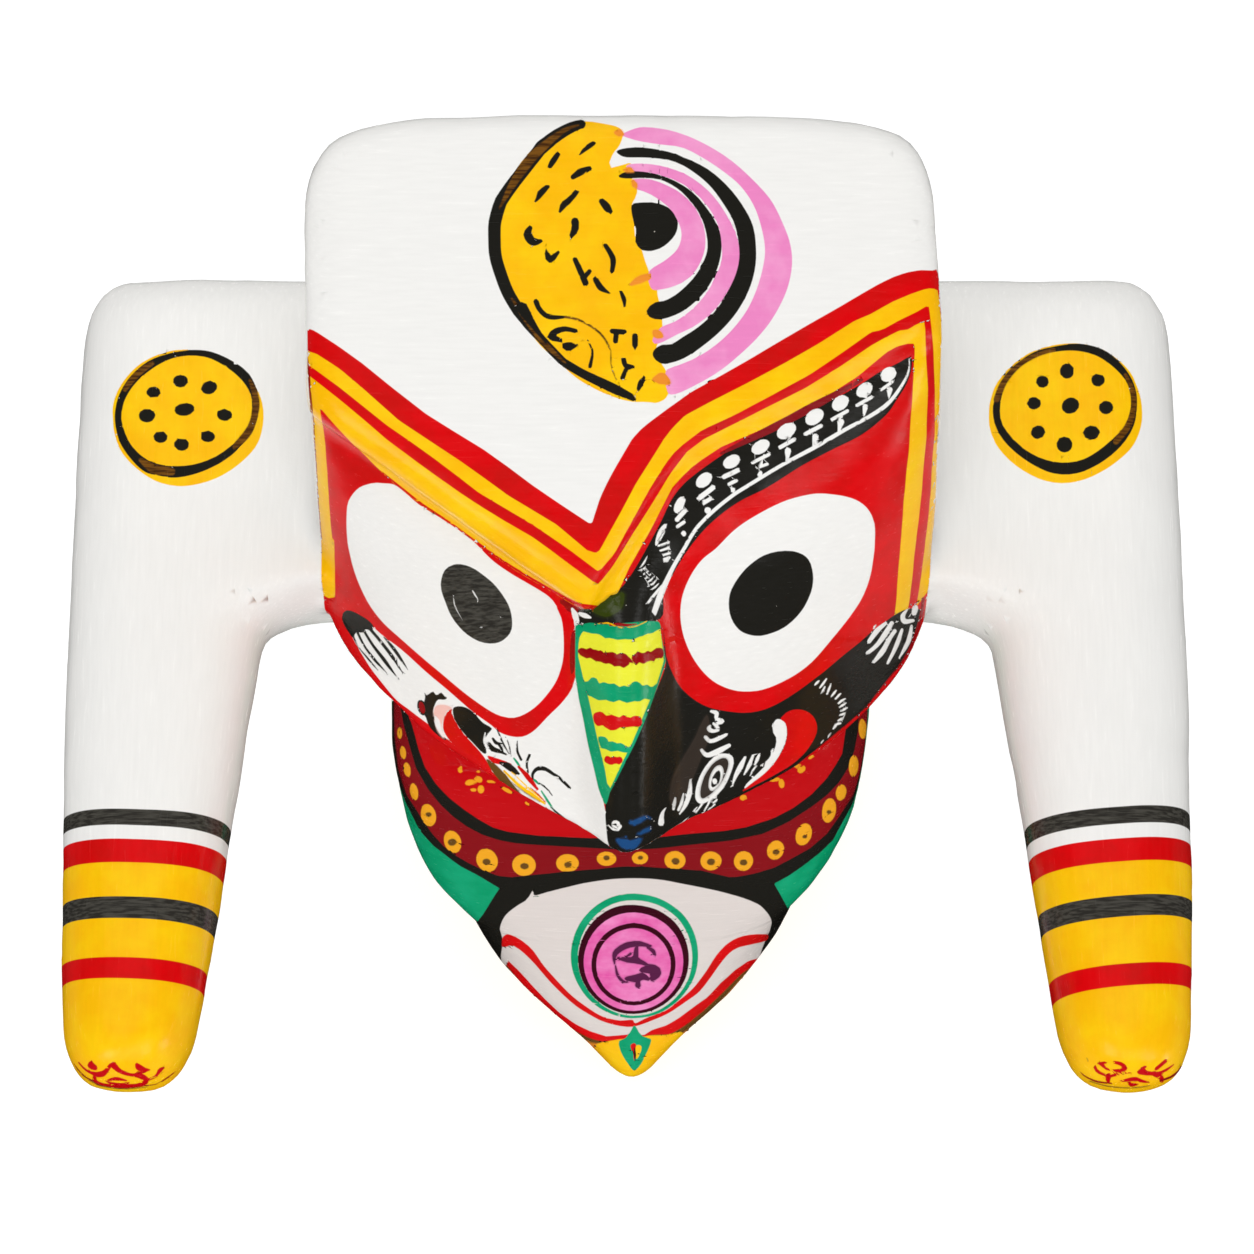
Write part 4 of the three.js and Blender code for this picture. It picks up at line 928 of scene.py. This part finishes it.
def drawn(sheets):
    """Each shape in turn, brought from its sheet to the drawing: its pot, kind, places and sizes.

    Places and widths keep to half a step, and radii and fine widths to a tenth.
    """
    for sheet, shapes in sheets:
        left, top, larger = SHEETS[sheet]
        for pot, kind, numbers, *sizes in shapes:
            path = np.round(((left, top) + np.reshape(numbers, (-1, 2)) / larger) * 2) / 2
            if kind == "ovals":
                across, down, turn = sizes[0]
                for middle in path:
                    yield pot, kind, middle[None], (round(across / larger, 1), round(down / larger, 1), turn)
            elif kind == "stroke":
                widths = [width / larger for width in sizes[0]]
                yield pot, kind, path, [round(w * 2) / 2 if w > 1 else round(w, 1) for w in widths]
            else:
                yield pot, kind, path, ()


class Coats:
    """The coats of enamel on some points of the carving."""

    def __init__(self, count):
        self.depths = np.full((len(POTS), count), -FAR)
        self.depths[POT_ROWS["white"]] = FAR
        self.film = np.zeros(count)

    def lay(self, pot, depth, rows):
        """Lays one pot over the others at these points, as deep as given."""
        depth = np.clip(depth, -FAR, FAR)
        row = POT_ROWS[pot]
        laid = np.maximum(self.depths[row, rows], depth)
        self.depths[:, rows] = np.minimum(self.depths[:, rows], -depth)
        self.depths[row, rows] = laid
        self.film[rows] += np.clip(depth / 1.5, 0, 1)


def lay_shapes(coats, sheets, spots, limit, rows):
    """Lays the drawing's shapes, in order, on these rows of points."""
    for pot, kind, path, sizes in drawn(sheets):
        reach = FAR + max(sizes[:2] if kind == "ovals" else sizes, default=0)
        low, high = path.min(0) - reach, path.max(0) + reach
        near = rows[np.all((spots[rows] > low) & (spots[rows] < high), axis=1)]
        if len(near) == 0:
            continue
        if kind == "stroke":
            depth = depth_in_stroke(spots[near], path, sizes)
        elif kind == "ovals":
            depth = depth_in_fill(spots[near], oval_outline(path[0], *sizes))
        else:
            depth = depth_in_fill(spots[near], rounded(path, True) if kind == "wash" else path)
        coats.lay(pot, np.minimum(depth, limit[near]), near)


def down_the_arm(step):
    """The distance forward, in metres, of a band that the drawing shows at this step on an arm's top."""
    slope = (DRAWING / 2 - step) / FOCAL
    return (slope * (REACH - ARM_RISE * math.sin(TILT)) - ARM_RISE * math.cos(TILT)) / (
        math.sin(TILT) - slope * math.cos(TILT)) + AIM.y


def paint_head(coats, points, normals, spots, facing, rows):
    """White, with the face on what is seen from the front and above, and crimson under its lip."""
    x, y, z = points.T
    coats.lay("crimson", np.minimum(LIP_TOP - z[rows], LIP_BACK - y[rows]) * STEPS_PER_METRE, rows)
    bow = np.maximum(CHEEK_BOW * (1 - ((y - CHEEK_BOW_MIDDLE) / CHEEK_BOW_REACH) ** 2), -CHEEK_DRAWN_IN)
    cheek = np.where(x > 0, RIGHT_CHEEK + bow, LEFT_CHEEK)
    limit = np.minimum((facing + 0.02) * TURNING, (cheek - np.abs(x)) * STEPS_PER_METRE)
    lay_shapes(coats, FOREHEAD_MARK, spots, limit, rows)
    in_front = np.minimum((-0.06 - normals[:, 1]) * TURNING, (z - FACE_FOOT) * STEPS_PER_METRE)
    limit = np.minimum(limit, in_front)
    for sheets in (BROW_BANDS, LEFT_FACE, RIGHT_FACE, NOSE_STRIP):
        lay_shapes(coats, sheets, spots, limit, rows)


def paint_arm(coats, points, spots, facing, rows, bands, sheets, middle, slant):
    """White to the elbow, banded below it, with a disc on the elbow and petals on the tip."""
    forward = points[rows, 1] - slant * (points[rows, 0] - middle)
    for step, pot in bands:
        coats.lay(pot, (down_the_arm(step) - forward) * STEPS_PER_METRE, rows)
    lay_shapes(coats, sheets, spots, (facing + 0.02) * TURNING, rows)


def paint_body(coats, points, spots, facing, rows):
    """Green sides and back over a black waist and a yellow rim, with the collar and lotus in front."""
    x, y, z = points.T
    coats.lay("green", np.full(len(rows), FAR), rows)
    for pot, height in BODY_BANDS:
        coats.lay(pot, (height - z[rows]) * STEPS_PER_METRE, rows)
    collar_foot = np.where(x[rows] < 0, LEFT_COLLAR, RIGHT_COLLAR)
    above_collar = (z[rows] - COLLAR_LEAN * y[rows] - collar_foot) / math.hypot(1, COLLAR_LEAN)
    for pot, inset in COLLAR_BANDS:
        coats.lay(pot, (above_collar - inset) * STEPS_PER_METRE, rows)
    sides = np.interp(z, FRONT_HEIGHTS, FRONT_SIDES)
    limit = np.minimum((facing + 0.01) * TURNING, (sides - y) * STEPS_PER_METRE)
    chest_limit = np.minimum(limit, (z - CHEST_FOOT) * STEPS_PER_METRE)
    coats.lay("crimson", chest_limit[rows], rows)
    lay_shapes(coats, CHEST, spots, chest_limit, rows)
    lay_shapes(coats, BASE_FRONT, spots, limit, rows)


def paint(points, normals):
    """How deep in each pot's coat every point lies, in steps, with the last coat laid on top."""
    spots = on_the_drawing(points)
    to_eye = np.array(EYE) - points
    facing = (normals * to_eye).sum(1) / np.linalg.norm(to_eye, axis=1)
    coats = Coats(len(points))
    on_arms = np.abs(points[:, 0]) > ARM_SIDE
    on_head = ~on_arms & (points[:, 2] > HEAD_FOOT)
    paint_head(coats, points, normals, spots, facing, np.flatnonzero(on_head))
    for side, *decoration in ARMS:
        on_this = on_arms & (points[:, 0] * side > 0)
        paint_arm(coats, points, spots, facing, np.flatnonzero(on_this), *decoration)
    paint_body(coats, points, spots, facing, np.flatnonzero(~on_arms & ~on_head))
    return coats


def in_triangles():
    """Cuts the selected faces of the piece in edit mode into triangles."""
    bpy.ops.mesh.select_all(action="SELECT")
    bpy.ops.mesh.quads_convert_to_tris(quad_method="SHORTEST_DIAGONAL", ngon_method="BEAUTY")
    bpy.ops.object.mode_set(mode="OBJECT")


def refine(piece, form, longest, reach=None):
    """Splits the net and lays the new points on the form.

    Edges over the longest length are split near a coat's edge. With a reach, in steps, only those are
    split where the coat's edge would be drawn too far off. Without one, those on a bend are split too.
    """
    points, normals = at_each_point(piece, "co"), at_each_point(piece, "normal")
    coats = paint(points, normals).depths
    depth = coats.max(axis=0)
    ends = np.zeros(len(piece.data.edges) * 2, int)
    piece.data.edges.foreach_get("vertices", ends)
    a, b = ends.reshape(-1, 2).T
    length = np.linalg.norm(points[a] - points[b], axis=1)
    near_edge = np.minimum(depth[a], depth[b]) < np.minimum(length * STEPS_PER_METRE, FAR)
    chosen = (length > longest) & near_edge
    if reach:
        rows = np.flatnonzero(chosen)
        between = paint((points[a[rows]] + points[b[rows]]) / 2, normals[a[rows]] + normals[b[rows]]).depths
        guessed = (coats[:, a[rows]] + coats[:, b[rows]]) / 2
        slip = np.abs(np.clip(between, -reach, reach) - np.clip(guessed, -reach, reach)).max(axis=0)
        chosen[rows[slip < reach / 4]] = False
    else:
        chosen |= (length > longest) & ((normals[a] * normals[b]).sum(1) < SAME_DIRECTION)
    only(piece)
    bpy.ops.object.mode_set(mode="EDIT")
    bpy.ops.mesh.select_mode(type="EDGE")
    bpy.ops.mesh.select_all(action="DESELECT")
    bpy.ops.object.mode_set(mode="OBJECT")
    piece.data.edges.foreach_set("select", chosen)
    bpy.ops.object.mode_set(mode="EDIT")
    bpy.ops.mesh.subdivide(number_cuts=1)
    in_triangles()
    finish_with(piece, "SHRINKWRAP", target=form, wrap_method="NEAREST_SURFACEPOINT")


def painted_figure():
    """The carved block, with each pot's coat and the film of paint as attributes of its points."""
    form = carving("carved_form", FORM_GRAIN, FORM_SMOOTHING)
    piece = carving("painted_figure", NET_GRAIN, NET_SMOOTHING)
    only(piece)
    bpy.ops.object.mode_set(mode="EDIT")
    in_triangles()
    finish_with(piece, "SHRINKWRAP", target=form, wrap_method="NEAREST_SURFACEPOINT")
    refine(piece, form, CURVED_SPLIT)
    for longest, reach in EDGE_SPLITS:
        refine(piece, form, longest, reach)
    refine(piece, form, *FINEST_SPLIT)
    coats = paint(at_each_point(piece, "co"), at_each_point(piece, "normal"))
    for name, values in (*zip(POTS, coats.depths), ("film", coats.film)):
        layer = piece.data.attributes.new(name, "FLOAT", "POINT")
        layer.data.foreach_set("value", values.astype(np.float32))
    bpy.data.objects.remove(form)
    return piece


def leave_knife_marks(piece):
    """The knife left the surface a little uneven all over, apart from the flat sole."""
    above_sole = piece.vertex_groups.new(name="above_sole")
    raised = np.flatnonzero(at_each_point(piece, "co")[:, 2] > SOLE)
    above_sole.add([int(i) for i in raised], 1.0, "REPLACE")
    knife = bpy.data.textures.new("knife_marks", "CLOUDS")
    knife.noise_scale = KNIFE_STROKE
    finish_with(piece, "DISPLACE", texture=knife, texture_coords="LOCAL", strength=KNIFE_DEPTH,
                mid_level=0.5, vertex_group="above_sole")
    piece.vertex_groups.clear()
    for face in piece.data.polygons:
        face.use_smooth = True


def colour(code):
    """Linear colour of an sRGB hex value."""
    parts = (int(code[i:i + 2], 16) / 255 for i in (0, 2, 4))
    return (*(c / 12.92 if c <= 0.04045 else ((c + 0.055) / 1.055) ** 2.4 for c in parts), 1)


def node(tree, kind, settings=None, **inputs):
    """Adds a node with its settings, and sets or links its inputs."""
    made = tree.nodes.new(kind)
    for name, value in (settings or {}).items():
        setattr(made, name, value)
    for name, value in inputs.items():
        key = int(name[1:]) if name[1:].isdigit() else name.replace("_", " ")
        if isinstance(value, bpy.types.NodeSocket):
            tree.links.new(value, made.inputs[key])
        else:
            made.inputs[key].default_value = value
    return made


def patchy_pots(tree, mm, blotch):
    """The pots whose coats vary: thin ones, dragged ones that show streaks, among them the painted grey sheen
    on black, and black with dust in it.
    """
    thin = node(tree, "ShaderNodeMapRange", None, i0=blotch, i1=0.4, i2=0.65).outputs[0]
    slant = node(tree, "ShaderNodeMapping", None, i0=mm, i2=(0, 0, math.radians(35)), i3=(0.25, 2.5, 1))
    drag = node(tree, "ShaderNodeTexNoise", None, Vector=slant.outputs[0], Scale=1, Detail=3).outputs[0]
    dragged = node(tree, "ShaderNodeMapRange", None, i0=drag, i1=0.4, i2=0.62).outputs[0]
    specks = node(tree, "ShaderNodeTexVoronoi", None, Vector=mm, Scale=0.42)
    chance = node(tree, "ShaderNodeSeparateColor", None, i0=specks.outputs["Color"]).outputs[0]
    size = node(tree, "ShaderNodeMath", {"operation": "MULTIPLY_ADD"}, i0=chance, i1=0.16,
                i2=-0.10).outputs[0]
    dust = node(tree, "ShaderNodeMath", {"operation": "LESS_THAN"}, i0=specks.outputs["Distance"],
                i1=size).outputs[0]
    second_colours = {"red": ("CC0A08", thin), "pink": ("F4A0D0", thin), "rose": ("F08CC6", thin),
                      "yellow": ("FFCB04", thin), "green": ("12A878", thin), "sepia": ("7A4E14", dragged),
                      # The grey sheen is painted, streaked lighter along the drag
                      "slate": ("4A4842", dragged), "black": ("B8B4AA", dust)}
    return {pot: node(tree, "ShaderNodeMix", {"data_type": "RGBA"}, i0=pattern, i6=colour(POTS[pot]),
                      i7=colour(code)).outputs[2]
            for pot, (code, pattern) in second_colours.items()}


def painted_colour(tree, patchy):
    """Each pot's colour where its coat is deepest, blended across the coats' edges."""
    total, shade = None, None
    for pot, code in POTS.items():
        depth = node(tree, "ShaderNodeAttribute", {"attribute_name": pot}).outputs["Fac"]
        soft = SOFT_EDGES.get(pot, CRISP_EDGE)
        cover = node(tree, "ShaderNodeMapRange", None, i0=depth, i1=-soft, i2=soft).outputs[0]
        paint_colour = patchy.get(pot, colour(code)[:3])
        if shade is None:
            total = cover
            shade = node(tree, "ShaderNodeVectorMath", {"operation": "MULTIPLY"}, i0=cover,
                         i1=paint_colour).outputs[0]
        else:
            total = node(tree, "ShaderNodeMath", {"operation": "ADD"}, i0=total, i1=cover).outputs[0]
            shade = node(tree, "ShaderNodeVectorMath", {"operation": "MULTIPLY_ADD"}, i0=cover,
                         i1=paint_colour, i2=shade).outputs[0]
    return node(tree, "ShaderNodeVectorMath", {"operation": "DIVIDE"}, i0=shade, i1=total).outputs[0]


def enamel():
    """Gloss enamel brushed by hand on primed soft wood: streaky whites, thin pinks, raised strokes, and
    dust caught in the black."""
    material = bpy.data.materials.new("brushed_enamel_on_softwood")
    material.use_nodes = True
    tree = material.node_tree
    tree.nodes.clear()
    place = node(tree, "ShaderNodeTexCoord").outputs["Object"]
    mm = node(tree, "ShaderNodeVectorMath", {"operation": "SCALE"}, i0=place, i3=1000).outputs[0]
    across = node(tree, "ShaderNodeSeparateXYZ", None, i0=mm).outputs[0]
    side = node(tree, "ShaderNodeMath", {"operation": "ABSOLUTE"}, i0=across).outputs[0]
    on_arm = node(tree, "ShaderNodeMapRange", None, i0=side, i1=53.5, i2=56).outputs[0]

    # Brush hairs leave lines about 0.6 mm apart: across the head and body, along the arms
    level = node(tree, "ShaderNodeMapping", None, i0=mm, i3=(0.14, 1.6, 1.6)).outputs[0]
    lengthwise = node(tree, "ShaderNodeMapping", None, i0=mm, i3=(1.6, 0.14, 1.6)).outputs[0]
    head_hairs = node(tree, "ShaderNodeTexNoise", None, Vector=level, Scale=1, Detail=3).outputs[0]
    arm_hairs = node(tree, "ShaderNodeTexNoise", None, Vector=lengthwise, Scale=1, Detail=3).outputs[0]
    hairs = node(tree, "ShaderNodeMix", None, i0=on_arm, i2=head_hairs, i3=arm_hairs).outputs[0]
    blotch = node(tree, "ShaderNodeTexNoise", None, Vector=mm, Scale=0.12, Detail=4, Roughness=0.6).outputs[0]
    speckle = node(tree, "ShaderNodeTexNoise", None, Vector=mm, Scale=2.2, Detail=2).outputs[0]

    shade = painted_colour(tree, patchy_pots(tree, mm, blotch))
    streaked = node(tree, "ShaderNodeMapRange", None, i0=hairs, i1=0.3, i2=0.7, i3=0.975, i4=1.01).outputs[0]
    shade = node(tree, "ShaderNodeVectorMath", {"operation": "SCALE"}, i0=shade, i3=streaked).outputs[0]

    # Heights in millimetres: brush lines, then each coat that lies over another
    film = node(tree, "ShaderNodeAttribute", {"attribute_name": "film"}).outputs["Fac"]
    ridges = node(tree, "ShaderNodeMath", {"operation": "MULTIPLY"}, i0=hairs, i1=0.03).outputs[0]
    coated = node(tree, "ShaderNodeMath", {"operation": "MULTIPLY_ADD"}, i0=film, i1=0.035,
                  i2=ridges).outputs[0]
    height = node(tree, "ShaderNodeMath", {"operation": "MULTIPLY_ADD"}, i0=speckle, i1=0.02,
                  i2=coated).outputs[0]
    relief = node(tree, "ShaderNodeBump", None, Strength=1, Distance=0.001, Height=height).outputs[0]
    gloss = node(tree, "ShaderNodeMapRange", None, i0=hairs, i1=0.3, i2=0.7, i3=0.18, i4=0.28).outputs[0]
    shader = node(tree, "ShaderNodeBsdfPrincipled", None, Base_Color=shade, Roughness=gloss, Normal=relief,
                  Specular_IOR_Level=0.25)
    node(tree, "ShaderNodeOutputMaterial", None, Surface=shader.outputs[0])
    return material


figure = painted_figure()
leave_knife_marks(figure)
figure.data.materials.append(enamel())
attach(figure, "root")
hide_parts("figure")

# The camera stands at the drawing's eye, with a sensor 36 mm wide
SENSOR = 36
scene = bpy.context.scene
camera = bpy.data.objects.new("camera", bpy.data.cameras.new("camera"))
scene.collection.objects.link(camera)
camera.location = EYE
camera.rotation_euler = (math.radians(90) - TILT, 0, 0)
camera.data.sensor_width = SENSOR
camera.data.lens = SENSOR * FOCAL / DRAWING
camera.data.clip_start = 0.01
scene.camera = camera

# The floor is pale matt paper that glows a little, so that the shadow on it stays light
bpy.ops.object.select_all(action="DESELECT")
bpy.ops.mesh.primitive_plane_add(size=8, location=(0, 0, 0))
floor = bpy.context.object
floor.name = "floor"
floor.visible_glossy = False
paper = bpy.data.materials.new("paper")
paper.use_nodes = True
paper_look = {"Base Color": colour("B3B3B3"), "Roughness": 0.9, "Emission Color": colour("FFFFFF"),
              "Emission Strength": 0.72}
for name, value in paper_look.items():
    paper.node_tree.nodes["Principled BSDF"].inputs[name].default_value = value
floor.data.materials.append(paper)

world = bpy.data.worlds.new("studio")
scene.world = world
world.use_nodes = True
world.node_tree.nodes["Background"].inputs["Color"].default_value = colour("FFFFFF")
world.node_tree.nodes["Background"].inputs["Strength"].default_value = 0.36
world.cycles_visibility.glossy = False


def lamp(name, towards, distance, size, power, reflected=True):
    """A rectangular lamp that shines on the figure; only the reflected ones show in its gloss."""
    light = bpy.data.objects.new(name, bpy.data.lights.new(name, "AREA"))
    scene.collection.objects.link(light)
    towards = Vector(towards).normalized()
    light.location = AIM + towards * distance
    light.rotation_euler = towards.to_track_quat("Z", "Y").to_euler()
    light.data.shape = "RECTANGLE"
    light.data.size, light.data.size_y = size
    light.data.energy = power
    light.visible_glossy = reflected


lamp("left_softbox", (-0.45, -0.73, 0.5), 0.9, (0.26, 0.26), 0.6)
lamp("right_softbox", (0.48, -0.75, 0.46), 0.9, (0.22, 0.26), 0.4)
lamp("side_strip", (0.83, -0.555, 0.04), 0.8, (0.05, 0.2), 0.35)
lamp("front_fill", (0.0, -0.8, 0.6), 1.2, (1.2, 0.6), 5.4, False)
lamp("overhead_softbox", (-0.1, 0.1, 0.98), 1.2, (1.3, 1.1), 4.9, False)
lamp("back_fill", (0.0, 0.8, 0.6), 1.1, (1.2, 0.6), 3.6, False)
scene.view_settings.view_transform = "Standard"
